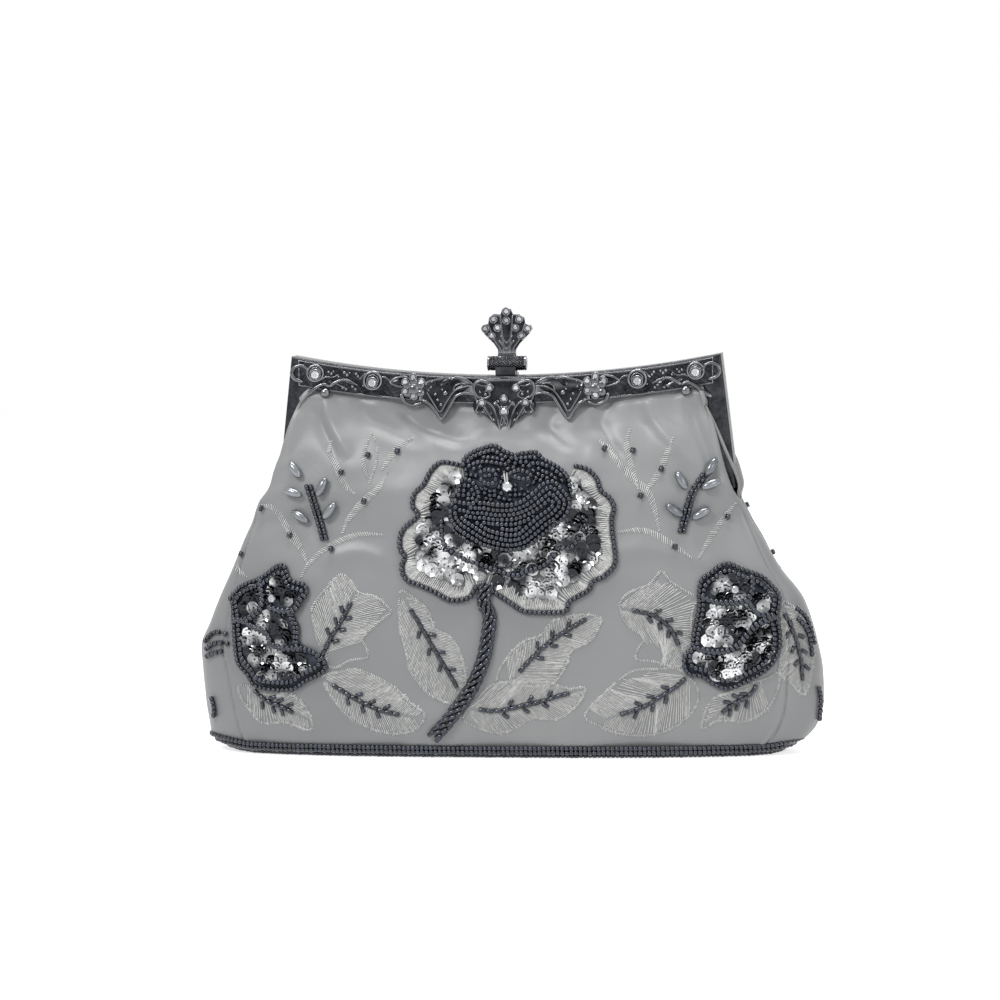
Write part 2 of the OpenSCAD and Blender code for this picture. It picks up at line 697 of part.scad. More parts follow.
// Lining: a bag in the body and a sheet behind each upper panel
module lining_bag() {
    out = cloth_t + lining_gap;
    function lining_loop(z, depth) = [for (i = [0:loop_columns - 1]) cloth_point(z, 360 * i / loop_columns, depth)];
    low_z = cloth_t + board_t + 2 * soft_gap;
    zs = [for (s = lining_rows_shares) s * hinge_z];
    outer = concat([lining_loop(low_z, 2 * out)], [for (z = zs) lining_loop(z, out)]);
    inner = concat([lining_loop(low_z + lining_t, 2 * out + lining_t)], [for (z = zs) lining_loop(z, out + lining_t)]);
    color(lining_colour) loft(concat(outer, reversed(inner)));
}

function lining_a(z) = leg_edge(max(hinge_z, z)) - leg_face(max(hinge_z, z)) - metal_t;
function lining_point(z, turn, depth, face) =
    let (e = tuck_y - depth, b = body_b(z) - depth, c = power_cos(sin(turn)))
    let (top = z < hinge_z ? z : corner_z(high_t(z)), x = lining_a(top) * sin(turn))
    [x, face * (e + (b - e) * c), z + follow(z) * arc_rise(x)];
function lining_ring(z, from, face) =
    let (out = cloth_t + soft_gap)
    let (turns = [for (i = [0:cloth_columns]) from + 180 * i / cloth_columns])
    concat([for (a = turns) lining_point(z, a, out, face)],
        reversed([for (a = turns) lining_point(z, a, out + lining_t, face)]));

front_lining_low_shares = [0.888, 1];
front_lining_high_shares = [0.27, 0.42, 0.59, 0.74, 0.86, 0.985];
rear_lining_shares = [0.5, 0.62, 0.74, 0.86, 0.985];

module front_lining() {
    rows = concat([for (s = front_lining_low_shares) s * hinge_z], [for (t = front_lining_high_shares) high_z(t)],
        [cloth_top_z]);
    color(lining_colour) loft([for (z = rows) lining_ring(z, -90, -1)]);
}

module rear_lining() {
    rows = concat([for (t = rear_lining_shares) high_z(t)], [cloth_top_z]);
    color(lining_colour) loft([for (z = rows) lining_ring(z, 90, 1)]);
}

// Beadwork on the front, turned half round for the back
petal_count = 32;
petal_share = 0.045;
heart_waves = 3;
rose_waves = 7;
side_rose_waves = 5;
rose_x_share = 0.003;
rose_z_share = 0.645;
heart_x_share = 0.006;
heart_z_share = 0.735;
heart_w_share = 0.585;
heart_h_share = 0.62;
side_rose_x_share = 0.362;
side_rose_z_share = 0.369;
side_heart_share = 0.6;
side_heart_rise_share = 0.1;
// Rings of a flower and of its heart: size as a share of its outline, height as a share of its thickness
back_ring_shares = [0.05, 0.4, 0.7, 0.98];
rim_ring_shares = [[1, 0.3], [0.96, 0.42]];
heart_ring_shares = [[1.12, 0.5], [1, 0.86], [0.8, 1], [0.4, 0.94], [0.08, 0.9]];

function petal_point(turn, size, centre, waves, share) =
    let (k = share * (1 + petal_share * cos(waves * turn)) / 2)
    centre + k * [size[0] * cos(turn), size[1] * sin(turn)];

// Closed ring round a flower, lifted off the cloth
function petal_ring(size, centre, waves, share, height) = [for (i = [0:petal_count - 1])
    let (p = petal_point(-360 * i / petal_count, size, centre, waves, share)) off_cloth(p[0], p[1], height)];

// Raised flower: rings across its back, over its edge and up to its heart
module flower(size, centre, heart_size, heart_centre, t, waves) {
    loft(concat(
        [for (r = back_ring_shares) petal_ring(size, centre, waves, r, bead_gap)],
        [for (r = rim_ring_shares) petal_ring(size, centre, waves, r[0], r[1] * t)],
        [for (r = heart_ring_shares) petal_ring(heart_size, heart_centre, heart_waves, r[0], r[1] * t)]));
}

module rose() {
    flower([rose_w, rose_h], [rose_x_share * body_w, rose_z_share * rail_low_z],
        [heart_w_share * rose_w, heart_h_share * rose_h], [heart_x_share * body_w, heart_z_share * rail_low_z],
        rose_t + bead_gap, rose_waves);
}

module side_roses() {
    size = [side_rose_w, side_rose_h];
    rise = side_heart_rise_share * side_rose_h;
    for (side = [-1, 1]) {
        centre = [side * side_rose_x_share * body_w, side_rose_z_share * rail_low_z];
        flower(size, centre, side_heart_share * size, centre + [0, rise], side_rose_t, side_rose_waves);
    }
}

// Middle line of the stem from the rose down to the base, x of half the body and z of the rose's lower edge
stem_shares = [[-0.054, 0.96], [-0.06, 0.826], [-0.074, 0.68], [-0.099, 0.54], [-0.131, 0.413], [-0.176, 0.284],
    [-0.222, 0.175]];
rose_low_z = rose_z_share * rail_low_z - rose_h / 2;
function spot(p) = [p[0] * body_w / 2, p[1] * rail_low_z];

module stem() {
    path = [for (p = stem_shares) [p[0] * body_w / 2, p[1] * rose_low_z]];
    last = len(path) - 1;
    loft([for (i = [0:last])
        let (run = path[min(last, i + 1)] - path[max(0, i - 1)], side = [-run[1], run[0]] / norm(run))
        [for (k = [0:5])
            let (p = path[i] + side * stem_w / 2 * cos(60 * k))
            off_cloth(p[0], p[1], bead_gap + stem_w / 4 * (1 + sin(60 * k)))]]);
}

// Leaves: base, tip and width, the width as a share of the leaf's length
leaf_shares = [
    [[-0.137, 0.195], [-0.336, 0.46], 0.44], [[-0.01, 0.225], [0.3, 0.4], 0.34], [[-0.13, 0.12], [0.25, 0.2], 0.29],
    [[-0.525, 0.27], [-0.41, 0.49], 0.56], [[-0.6, 0.21], [-0.26, 0.09], 0.36], [[-0.86, 0.17], [-0.63, 0.08], 0.3],
    [[0.52, 0.26], [0.4, 0.49], 0.56], [[0.6, 0.21], [0.27, 0.085], 0.34], [[0.86, 0.17], [0.63, 0.085], 0.3]
];
leaf_stations = 8;
leaf_tip_share = 0.04;
// Section of a leaf: places across its half width and heights as shares of its thickness
leaf_section_shares = [[1, 0.45], [0.35, 1], [-0.35, 1], [-1, 0.45], [-0.35, 0], [0.35, 0]];

module leaf(shares) {
    base = spot(shares[0]);
    tip = spot(shares[1]);
    run = tip - base;
    side = [-run[1], run[0]] * shares[2] / 2;
    loft([for (i = [0:leaf_stations])
        let (t = i / leaf_stations, mid = base + run * t)
        let (wide = leaf_tip_share + (1 - leaf_tip_share) * pow(sin(180 * pow(t, 0.9)), 0.8))
        [for (k = leaf_section_shares)
            let (p = mid + side * wide * k[0])
            off_cloth(p[0], p[1], bead_gap + leaf_t * k[1])]]);
}

module leaves() {
    for (shares = leaf_shares) leaf(shares);
}

// Rice pearls of the two sprigs: x as a share of the cloth's half width at the hinges, z as a share of the
// height from the hinges to the rail, and the way each one points
pearl_shares = [
    [-0.868, 0.33, -55], [-0.88, 0.093, -20], [-0.842, -0.147, -35], [-0.756, 0.147, 65], [-0.726, -0.09, 55],
    [0.838, 0.36, 60], [0.838, 0.178, 20], [0.718, 0.22, -55], [0.686, -0.078, -35], [0.797, -0.114, 30]
];
pearl_steps = 8;
// On the back the sprigs stand higher and nearer the middle, on the flap that swings
back_pearl_x_share = 0.85;
back_pearl_rise_share = 0.635;

// A pearl lies along the cloth between its two ends, clear of it in the middle too
module pearl(shares, narrow, rise) {
    p = [narrow * shares[0] * high_a(0), high_z(shares[1] + rise)];
    reach = pearl_l / 2 * [cos(shares[2]), sin(shares[2])];
    lift_h = bead_gap + pearl_t / 2;
    ends = [for (side = [-1, 1]) off_cloth(p[0] + side * reach[0], p[1] + side * reach[1], lift_h)];
    run = ends[1] - ends[0];
    mid = (ends[0] + ends[1]) / 2;
    out_y = min(mid[1], off_cloth(p[0], p[1], lift_h)[1]);
    translate([mid[0], out_y, mid[2]]) rotate([0, acos(run[2] / norm(run)), atan2(run[1], run[0])])
        rotate_extrude($fn = 24)
            polygon([for (k = [0:pearl_steps])
                [pearl_t / 2 * sin(180 * k / pearl_steps), pearl_l / 2 * cos(180 * k / pearl_steps)]]);
}

module pearls(narrow = 1, rise = 0) {
    for (shares = pearl_shares) pearl(shares, narrow, rise);
}

module on_back() {
    rotate([0, 0, 180]) children();
}

module front_rose() {
    color(bead_colour) rose();
}

module rear_rose() {
    color(bead_colour) on_back() rose();
}

module front_side_roses() {
    color(bead_colour) side_roses();
}

module rear_side_roses() {
    color(bead_colour) on_back() side_roses();
}

module front_stem() {
    color(bead_colour) stem();
}

module rear_stem() {
    color(bead_colour) on_back() stem();
}

module front_leaves() {
    color(thread_colour) leaves();
}

module rear_leaves() {
    color(thread_colour) on_back() leaves();
}

module front_pearls() {
    color(pearl_colour) pearls();
}

module rear_pearls() {
    color(pearl_colour) on_back() pearls(back_pearl_x_share, back_pearl_rise_share);
}

front_frame();
rear_frame();
front_rail_ornament();
rear_rail_ornament();
rail_stones();
left_hinge_rivet();
right_hinge_rivet();
front_hem_cord();
rear_hem_cord();
clasp_bracket();
clasp_pin();
clasp_drum();
latch_tongue();
catch_post();
fan_knob();
fan_stones();
front_panel();
rear_panel();
rear_flap();
left_gusset();
right_gusset();
side_folds();
bottom_panel();
base_board();
base_trim();
lining_bag();
front_lining();
rear_lining();
front_rose();
rear_rose();
front_side_roses();
rear_side_roses();
front_stem();
rear_stem();
front_leaves();
rear_leaves();
front_pearls();
rear_pearls();
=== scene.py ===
import math

import bmesh
import bpy
import numpy as np
from mathutils import Matrix, Vector
from mathutils.bvhtree import BVHTree


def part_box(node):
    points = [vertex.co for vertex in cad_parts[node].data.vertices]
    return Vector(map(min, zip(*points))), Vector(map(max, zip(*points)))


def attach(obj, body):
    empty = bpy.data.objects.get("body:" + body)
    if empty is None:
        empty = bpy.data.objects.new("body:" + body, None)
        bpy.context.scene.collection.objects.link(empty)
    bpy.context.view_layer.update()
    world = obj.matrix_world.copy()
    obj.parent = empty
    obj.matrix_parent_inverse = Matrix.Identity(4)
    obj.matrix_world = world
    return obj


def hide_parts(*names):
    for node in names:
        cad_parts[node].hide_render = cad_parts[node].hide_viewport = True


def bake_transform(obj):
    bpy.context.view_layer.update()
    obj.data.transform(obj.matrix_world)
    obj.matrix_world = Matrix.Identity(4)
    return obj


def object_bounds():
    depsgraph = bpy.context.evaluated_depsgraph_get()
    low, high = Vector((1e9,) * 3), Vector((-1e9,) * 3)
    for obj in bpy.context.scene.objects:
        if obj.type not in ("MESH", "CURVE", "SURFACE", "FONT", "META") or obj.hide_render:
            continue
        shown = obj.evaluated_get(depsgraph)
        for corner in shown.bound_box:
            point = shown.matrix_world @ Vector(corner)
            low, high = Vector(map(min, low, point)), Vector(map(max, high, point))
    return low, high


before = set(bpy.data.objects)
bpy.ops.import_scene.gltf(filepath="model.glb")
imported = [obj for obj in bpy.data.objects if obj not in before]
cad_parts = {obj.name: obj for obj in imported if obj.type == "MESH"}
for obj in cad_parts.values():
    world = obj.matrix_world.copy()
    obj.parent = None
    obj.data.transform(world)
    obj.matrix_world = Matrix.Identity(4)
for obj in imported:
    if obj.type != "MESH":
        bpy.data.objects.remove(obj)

# Evening clutch. Lengths are in metres: X runs along the rail, -Y is the beaded front, Z is up.
cad_low, cad_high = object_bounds()
mm = 0.001
rng = np.random.default_rng(11)

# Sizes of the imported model
body_w = cad_high.x - cad_low.x
body_d = 59 * mm
hinge_d = 44 * mm
rivet_low, rivet_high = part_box("right_hinge_rivet")
hinge_z = (rivet_low.z + rivet_high.z) / 2
frame_w = 181.4 * mm
foot_w = 195.4 * mm
frame_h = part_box("front_frame")[1].z
rail_dip = 8.8 * mm
rail_face = 11.5 * mm
leg_top_face = 9 * mm
leg_foot_face = 6 * mm
metal_t = 1 * mm
cloth_t = 1.3 * mm
tuck_y = 6.7 * mm
proud_y = 8.3 * mm
cloth_drop = 3.8 * mm
ear_r = 4.5 * mm
rail_mid_z = frame_h - rail_dip
rail_r = ((frame_w / 2) ** 2 + rail_dip ** 2) / (2 * rail_dip)
rail_low_z = rail_mid_z - rail_face
cloth_top_z = rail_mid_z - cloth_drop

# Camera, from the corners of the frame, the base and the clasp in the photograph
camera_turn = math.radians(7)
camera_rise = math.radians(5)
camera_roll = math.radians(0.66)
camera_aim = np.array([0, 0, 0.084])
camera_far = 1.6
clip_near, clip_far = 0.1, 50
aim_px = (509.0, 552.8)
px_per_metre = 2362
photo_px = 1000
focal_px = px_per_metre * camera_far
sensor = 0.036

away = np.array([math.sin(camera_turn) * math.cos(camera_rise),
                 -math.cos(camera_turn) * math.cos(camera_rise),
                 math.sin(camera_rise)])
level = np.array([math.cos(camera_turn), math.sin(camera_turn), 0])
upright = np.cross(away, level)
cam_right = level * math.cos(camera_roll) - upright * math.sin(camera_roll)
cam_up = upright * math.cos(camera_roll) + level * math.sin(camera_roll)
eye = camera_aim + away * camera_far


def make_camera():
    data = bpy.data.cameras.new("camera")
    data.sensor_width = sensor * 1000
    data.lens = focal_px / photo_px * sensor * 1000
    data.shift_x = (photo_px / 2 - aim_px[0]) / photo_px
    data.shift_y = (aim_px[1] - photo_px / 2) / photo_px
    data.clip_start, data.clip_end = clip_near, clip_far
    camera = bpy.data.objects.new("camera", data)
    bpy.context.scene.collection.objects.link(camera)
    turn = Matrix(np.column_stack([cam_right, cam_up, away]).tolist()).to_4x4()
    camera.matrix_world = Matrix.Translation(Vector(eye)) @ turn
    bpy.context.scene.camera = camera


def sight(px, py):
    """Direction from the camera through a pixel of the photograph."""
    ray = -away + cam_right * (px - aim_px[0]) / focal_px + cam_up * (aim_px[1] - py) / focal_px
    return ray / np.linalg.norm(ray)


def seen_at(points):
    """Pixels of the photograph at which points appear."""
    rel = points - eye
    deep = -(rel @ away)
    return np.stack([aim_px[0] + focal_px * (rel @ cam_right) / deep,
                     aim_px[1] - focal_px * (rel @ cam_up) / deep], axis=-1)


# Small tools for directions and lines
def unit(v):
    return v / np.maximum(1e-9, np.linalg.norm(v, axis=-1, keepdims=True))


def quarter_turn(way):
    """Directions in the photograph turned by a right angle."""
    return np.stack([-way[..., 1], way[..., 0]], axis=-1)


def run_along(line):
    """Distance of each point of a line from its start, measured along it."""
    return np.concatenate([[0], np.cumsum(np.linalg.norm(np.diff(line, axis=0), axis=1))])


def placed_at(at, run, line):
    """Points of a line at given distances from its start."""
    return np.stack([np.interp(at, run, line[:, k]) for k in range(line.shape[1])], axis=-1)


def circle(count):
    return np.arange(count) * 2 * math.pi / count


# Small tools for meshes
def flat_faces(faces):
    """All corners of the faces in one row, and the number of corners of each."""
    if isinstance(faces, tuple):
        return faces
    if isinstance(faces, np.ndarray):
        return faces.ravel(), np.full(len(faces), faces.shape[1])
    return np.array([i for face in faces for i in face]), np.array([len(face) for face in faces])


def new_object(name, verts, faces, smooth=True):
    mesh = bpy.data.meshes.new(name)
    verts = np.asarray(verts, float)
    corners, counts = flat_faces(faces)
    mesh.vertices.add(len(verts))
    mesh.vertices.foreach_set("co", verts.ravel())
    mesh.loops.add(len(corners))
    mesh.loops.foreach_set("vertex_index", corners.astype(np.int32))
    mesh.polygons.add(len(counts))
    mesh.polygons.foreach_set("loop_start", np.concatenate([[0], np.cumsum(counts)[:-1]]).astype(np.int32))
    mesh.update(calc_edges=True)
    mesh.validate()
    mesh.polygons.foreach_set("use_smooth", [smooth] * len(mesh.polygons))
    obj = bpy.data.objects.new(name, mesh)
    bpy.context.scene.collection.objects.link(obj)
    return obj


def grid_faces(rows, columns, closed=False):
    across = columns if closed else columns - 1
    a = (np.arange(rows - 1)[:, None] * columns + np.arange(across)[None, :]).ravel()
    step = (np.arange(across) + 1) % columns
    b = (np.arange(rows - 1)[:, None] * columns + step[None, :]).ravel()
    return np.stack([a, b, b + columns, a + columns], axis=1)


def loft_faces(rows, n):
    """Faces between closed rings of n points, with a cap on the first and the last ring."""
    caps = [list(range(n))[::-1], list(range((rows - 1) * n, rows * n))]
    return [list(f) for f in grid_faces(rows, n, closed=True)] + caps


def poled_faces(rings, sides):
    """Faces of a form with a point at both ends and closed rings between them."""
    faces = [[0, 1 + (i + 1) % sides, 1 + i] for i in range(sides)]
    faces += [[1 + i for i in f] for f in grid_faces(rings, sides, closed=True)]
    a, last = 1 + (rings - 1) * sides, 1 + rings * sides
    return faces + [[a + i, a + (i + 1) % sides, last] for i in range(sides)]


def plate_faces(rows, columns):
    """Faces of a plate whose upper grid comes first and its lower grid second, with the rim between them."""
    n = rows * columns
    rim = [j for j in range(columns)]
    rim += [i * columns + columns - 1 for i in range(1, rows)]
    rim += [(rows - 1) * columns + j for j in range(columns - 2, -1, -1)]
    rim += [i * columns for i in range(rows - 2, 0, -1)]
    grid = grid_faces(rows, columns)
    faces = [list(f) for f in grid] + [[n + i for i in f[::-1]] for f in grid]
    return faces + [[p, q, n + q, n + p] for p, q in zip(rim, rim[1:] + rim[:1])]


def fix_normals(obj):
    bm = bmesh.new()
    bm.from_mesh(obj.data)
    bmesh.ops.recalc_face_normals(bm, faces=bm.faces)
    bm.to_mesh(obj.data)
    bm.free()


def bevel_smooth(obj, angle):
    """Smooth shading that keeps edges sharper than the angle."""
    mesh = obj.data
    mesh.polygons.foreach_set("use_smooth", [True] * len(mesh.polygons))
    mesh.set_sharp_from_angle(angle=math.radians(angle))


def finish_piece(obj, material, body=None, nodes=()):
    obj.data.materials.clear()
    obj.data.materials.append(material)
    if nodes:
        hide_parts(*nodes)
    if body:
        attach(obj, body)
    return obj


def apply_modifiers(obj):
    graph = bpy.context.evaluated_depsgraph_get()
    mesh = bpy.data.meshes.new_from_object(obj.evaluated_get(graph))
    old = obj.data
    obj.modifiers.clear()
    obj.data = mesh
    bpy.data.meshes.remove(old)


def smooth_table(rows, k):
    """Smooth curve through column k of a table, with no overshoot."""
    xs = np.array([row[0] for row in rows], float)
    ys = np.array([row[k] for row in rows], float)
    gap = np.diff(xs)
    slope = np.diff(ys) / gap
    tilt = np.zeros(len(xs))
    tilt[0], tilt[-1] = slope[0], slope[-1]
    for i in range(1, len(xs) - 1):
        if slope[i - 1] * slope[i] > 0:
            w1, w2 = 2 * gap[i] + gap[i - 1], gap[i] + 2 * gap[i - 1]
            tilt[i] = (w1 + w2) / (w1 / slope[i - 1] + w2 / slope[i])

    def curve(x):
        x = np.clip(np.asarray(x, float), xs[0], xs[-1])
        i = np.clip(np.searchsorted(xs, x, side="right") - 1, 0, len(xs) - 2)
        t = (x - xs[i]) / gap[i]
        a, b = ys[i], ys[i + 1]
        ta, tb = tilt[i] * gap[i], tilt[i + 1] * gap[i]
        return a + t * ta + t * t * (3 * (b - a) - 2 * ta - tb) + t ** 3 * (2 * (a - b) + ta + tb)
    return curve


def smoothstep(x, low, high):
    t = np.clip((x - low) / (high - low), 0, 1)
    return t * t * (3 - 2 * t)


def ripple(u, v, size, seed, waves=7):
    """Soft uneven surface between -1 and 1, with bumps of about the given size."""
    draw = np.random.default_rng(seed)
    total = np.zeros(np.shape(u))
    for _ in range(waves):
        way = draw.uniform(0, 2 * math.pi)
        k = 2 * math.pi / size * draw.uniform(0.6, 1.4)
        total = total + np.sin(k * (u * math.cos(way) + v * math.sin(way)) + draw.uniform(0, 6.3))
    return total / waves


# Materials: a value that is a socket is linked, another one is set on the node
def set_node(node, values):
    for key, value in values.items():
        if isinstance(value, bpy.types.NodeSocket):
            node.id_data.links.new(value, node.inputs[key])
        elif isinstance(key, int) or key in node.inputs:
            node.inputs[key].default_value = value
        else:
            setattr(node, key, value)


def add_node(tree, kind, outlet, values):
    node = tree.nodes.new(kind)
    set_node(node, values)
    return node.outputs[outlet]


def new_material(name):
    material = bpy.data.materials.new(name)
    material.use_nodes = True
    return material, material.node_tree, material.node_tree.nodes["Principled BSDF"]


def ramp(tree, source, low_at, low, high_at, high):
    node = tree.nodes.new("ShaderNodeValToRGB")
    for element, at, colour in zip(node.color_ramp.elements, (low_at, high_at), (low, high)):
        element.position = at
        element.color = (*colour, 1)
    set_node(node, {"Fac": source})
    return node.outputs["Color"]


def place_of(tree):
    return add_node(tree, "ShaderNodeTexCoord", "Object", {})


def noise(tree, scale, detail, place=None, roughness=0.5):
    values = {"Vector": place or place_of(tree), "Scale": scale, "Detail": detail, "Roughness": roughness}
    return add_node(tree, "ShaderNodeTexNoise", "Fac", values)


def bump(tree, height, strength, distance, under=None):
    values = {"Height": height, "Strength": strength, "Distance": distance}
    if under:
        values["Normal"] = under
    return add_node(tree, "ShaderNodeBump", "Normal", values)


def island_shade(tree):
    return add_node(tree, "ShaderNodeNewGeometry", "Random Per Island", {})


def satin_material():
    material, tree, shader = new_material("satin")
    colour = ramp(tree, noise(tree, 9.0, 3.0), 0.32, (0.2, 0.207, 0.213), 0.7, (0.275, 0.277, 0.28))
    threads = {"Vector": place_of(tree), "Scale": (2600, 2600, 700)}
    weave = noise(tree, 1.0, 2.0, add_node(tree, "ShaderNodeMapping", "Vector", threads))
    fine = bump(tree, weave, 0.22, 0.00006)
    pucker = bump(tree, noise(tree, 160.0, 4.0), 0.35, 0.0004, fine)
    set_node(shader, {"Base Color": colour, "Roughness": 0.4, "Sheen Weight": 0.25, "Sheen Roughness": 0.35,
                      "Specular IOR Level": 0.6, "Anisotropic": 0.45, "Normal": pucker})
    return material


def plain_cloth_material(name, low, high, roughness, scale):
    material, tree, shader = new_material(name)
    grain = noise(tree, scale, 4.0)
    set_node(shader, {"Base Color": ramp(tree, grain, 0.35, low, 0.68, high), "Roughness": roughness,
                      "Sheen Weight": 0.2, "Normal": bump(tree, grain, 0.3, 0.0001)})
    return material


# edge_highlight, when given, is the light grey of a highlight painted on convex edges.
def metal_material(name, low, high, roughness, bump_scale, bump_depth, edge_highlight=None):
    material, tree, shader = new_material(name)
    wear = noise(tree, 240.0, 6.0, roughness=0.65)
    colour = ramp(tree, wear, 0.36, low, 0.7, high)
    # Painted highlight: pointiness picks out convex edges, and there the colour is mixed towards a light
    # grey.
    if edge_highlight:
        pointed = add_node(tree, "ShaderNodeNewGeometry", "Pointiness", {})
        edge = ramp(tree, pointed, 0.53, (0, 0, 0), 0.66, (1, 1, 1))
        painted_highlight = (edge_highlight, edge_highlight, edge_highlight * 1.05, 1)
        colour = add_node(tree, "ShaderNodeMix", 2, {"data_type": "RGBA", 0: edge, 6: colour, 7: painted_highlight})
    rough = ramp(tree, wear, 0.3, (roughness * 0.75,) * 3, 0.75, (roughness * 1.35,) * 3)
    grain = bump(tree, noise(tree, bump_scale, 3.0), 0.5, bump_depth)
    set_node(shader, {"Base Color": colour, "Metallic": 1.0, "Roughness": rough, "Normal": grain})
    return material


def island_material(name, low, high, roughness, metallic, coat=0.0, specular=0.5):
    """Many small pieces in one mesh, each with its own shade between two colours."""
    material, tree, shader = new_material(name)
    set_node(shader, {"Base Color": ramp(tree, island_shade(tree), 0.0, low, 1.0, high),
                      "Roughness": roughness,
                      "Metallic": metallic, "Coat Weight": coat, "Coat Roughness": 0.06,
                      "Specular IOR Level": specular,
                      "Normal": bump(tree, noise(tree, 900.0, 2.0), 0.15, 0.0001)})
    return material


def sequin_material():
    """Dark mirror sequins with a painted glint: a random share per sequin plus fine noise makes the colour of
    some of them light.
    """
    material, tree, shader = new_material("sequins")
    # Painted glint: where the random share plus the noise is high, the colour turns from near black to light
    # grey.
    glint_mix = {"operation": "MULTIPLY_ADD", 0: island_shade(tree), 1: 0.34, 2: noise(tree, 130.0, 0.0)}
    shade = add_node(tree, "ShaderNodeMath", 0, glint_mix)
    colour = ramp(tree, shade, 0.56, (0.03, 0.031, 0.035), 0.95, (0.6, 0.61, 0.62))
    set_node(shader, {"Base Color": colour, "Metallic": 1.0, "Roughness": 0.13})
    return material


def crystal_material():
    material, tree, shader = new_material("crystal")
    colour = ramp(tree, island_shade(tree), 0.0, (0.36, 0.38, 0.41), 1.0, (0.72, 0.74, 0.77))
    set_node(shader, {"Base Color": colour, "Metallic": 0.7, "Roughness": 0.05, "Coat Weight": 1.0})
    return material


satin = satin_material()
lining_cloth = plain_cloth_material("lining", (0.16, 0.165, 0.175), (0.21, 0.215, 0.225), 0.5, 700.0)
board_stuff = plain_cloth_material("board", (0.3, 0.27, 0.22), (0.38, 0.34, 0.28), 0.8, 300.0)
paper_stuff = plain_cloth_material("paper_cord", (0.42, 0.36, 0.27), (0.52, 0.46, 0.35), 0.85, 900.0)
pad_stuff = plain_cloth_material("bead_ground", (0.02, 0.025, 0.04), (0.04, 0.05, 0.075), 0.7, 900.0)
frame_metal = metal_material("frame_metal", (0.022, 0.023, 0.026), (0.06, 0.062, 0.067), 0.26, 700.0,
                             0.00009)
# The cast relief gets a painted highlight of 0.62 grey on its convex edges.
cast_metal = metal_material("cast_metal", (0.012, 0.013, 0.015), (0.05, 0.051, 0.056), 0.17, 900.0, 0.00006,
                            0.62)
spring_metal = metal_material("spring_metal", (0.03, 0.031, 0.034), (0.06, 0.062, 0.066), 0.3, 900.0,
                              0.00005)
beads = island_material("navy_beads", (0.004, 0.006, 0.012), (0.014, 0.019, 0.038), 0.16, 0.55, 0.8)
spangles = sequin_material()
thread = island_material("thread", (0.43, 0.435, 0.43), (0.66, 0.665, 0.65), 0.5, 0.0, 0.0, 0.4)
pearl_stuff = island_material("pearl", (0.13, 0.14, 0.155), (0.22, 0.23, 0.25), 0.24, 0.6, 0.5)
crystal = crystal_material()


# Shape of the cloth
def leg_edge(z):
    return foot_w / 2 - (z - hinge_z) * (foot_w - frame_w) / 2 / (frame_h - hinge_z)


def leg_face(z):
    return leg_foot_face + (z - hinge_z) * (leg_top_face - leg_foot_face) / (frame_h - hinge_z)


def arc_z(drop, x):
    return rail_mid_z + rail_r - np.sqrt((rail_r + drop) ** 2 - np.square(x))


def high_t(z):
    return (z - hinge_z) / (rail_low_z - hinge_z)


def high_z(t):
    return hinge_z + t * (rail_low_z - hinge_z)


# Half width at a height below the hinge: height, left side and right side, as shares of hinge height and body
width_shares = [
    (0, 0.86, 0.82), (0.0075, 0.91, 0.865), (0.023, 0.95, 0.9), (0.056, 0.985, 0.955), (0.112, 0.993, 0.993),
    (0.206, 1.003, 1.014), (0.327, 1.01, 1.012), (0.42, 1.018, 1.003), (0.514, 0.995, 0.99),
    (0.617, 0.968, 0.966),
    (0.748, 0.918, 0.886), (0.888, 0.856, 0.812), (1, 0.804, 0.75)
]
# Depth below the hinge, as a share of what the belly adds to the depth at the hinges
depth_shares = [
    (0, 0), (0.0075, 0.107), (0.023, 0.467), (0.056, 0.733), (0.112, 0.88), (0.206, 0.973), (0.327, 1),
    (0.42, 0.96),
    (0.514, 0.88), (0.617, 0.747), (0.748, 0.533), (0.888, 0.267), (1, 0)
]
# Above the hinge: height, depth and follow of the rail's arc
upper_shares = [
    (0, 1, 0), (0.12, 0.94, 0), (0.27, 0.82, 0.08), (0.42, 0.686, 0.2), (0.59, 0.48, 0.45),
    (0.74, 0.24, 0.7),
    (0.86, 0.13, 0.9), (0.925, 0.08, 0.97), (0.985, 0, 1), (2, 0, 1)
]
# How far the cloth's side edge lies inside the leg's edge, in leg faces: left leg, right leg, back legs
inset_shares = [
    (0, -1.27, -0.09, -0.7), (0.12, -0.68, 0.25, -0.45), (0.27, -0.32, 0.5, -0.17), (0.42, 0.05, 0.64, 0.18),
    (0.59, 0.28, 0.76, 0.54), (0.74, 0.45, 0.9, 0.84), (0.86, 0.72, 1.1, 1.08), (0.925, 0.95, 1.15, 1.12),
    (0.985, 1.12, 1.15, 1.12), (2, 1.12, 1.15, 1.12)
]
lift_shares = [(0, 0), (0.907, 0), (1.047, 1), (1.34, 1)]
seam_shares = [
    (0.0075, 0.672), (0.056, 0.68), (0.112, 0.685), (0.206, 0.695), (0.327, 0.71), (0.42, 0.725),
    (0.514, 0.738),
    (0.617, 0.753), (0.748, 0.78), (0.888, 0.83), (0.946, 0.87), (1, 0.9)
]
outline_power = 2.5

left_share, right_share = smooth_table(width_shares, 1), smooth_table(width_shares, 2)
depth_share = smooth_table(depth_shares, 1)
upper_depth, upper_follow = smooth_table(upper_shares, 1), smooth_table(upper_shares, 2)
inset_left, inset_right, inset_back = (smooth_table(inset_shares, k) for k in (1, 2, 3))
lift_share = smooth_table(lift_shares, 1)
seam_share = smooth_table(seam_shares, 1)


def follow(z):
    return np.where(z < hinge_z, 0, upper_follow(high_t(z)))


def arc_rise(x):
    return arc_z(cloth_drop, x) - arc_z(cloth_drop, 0)


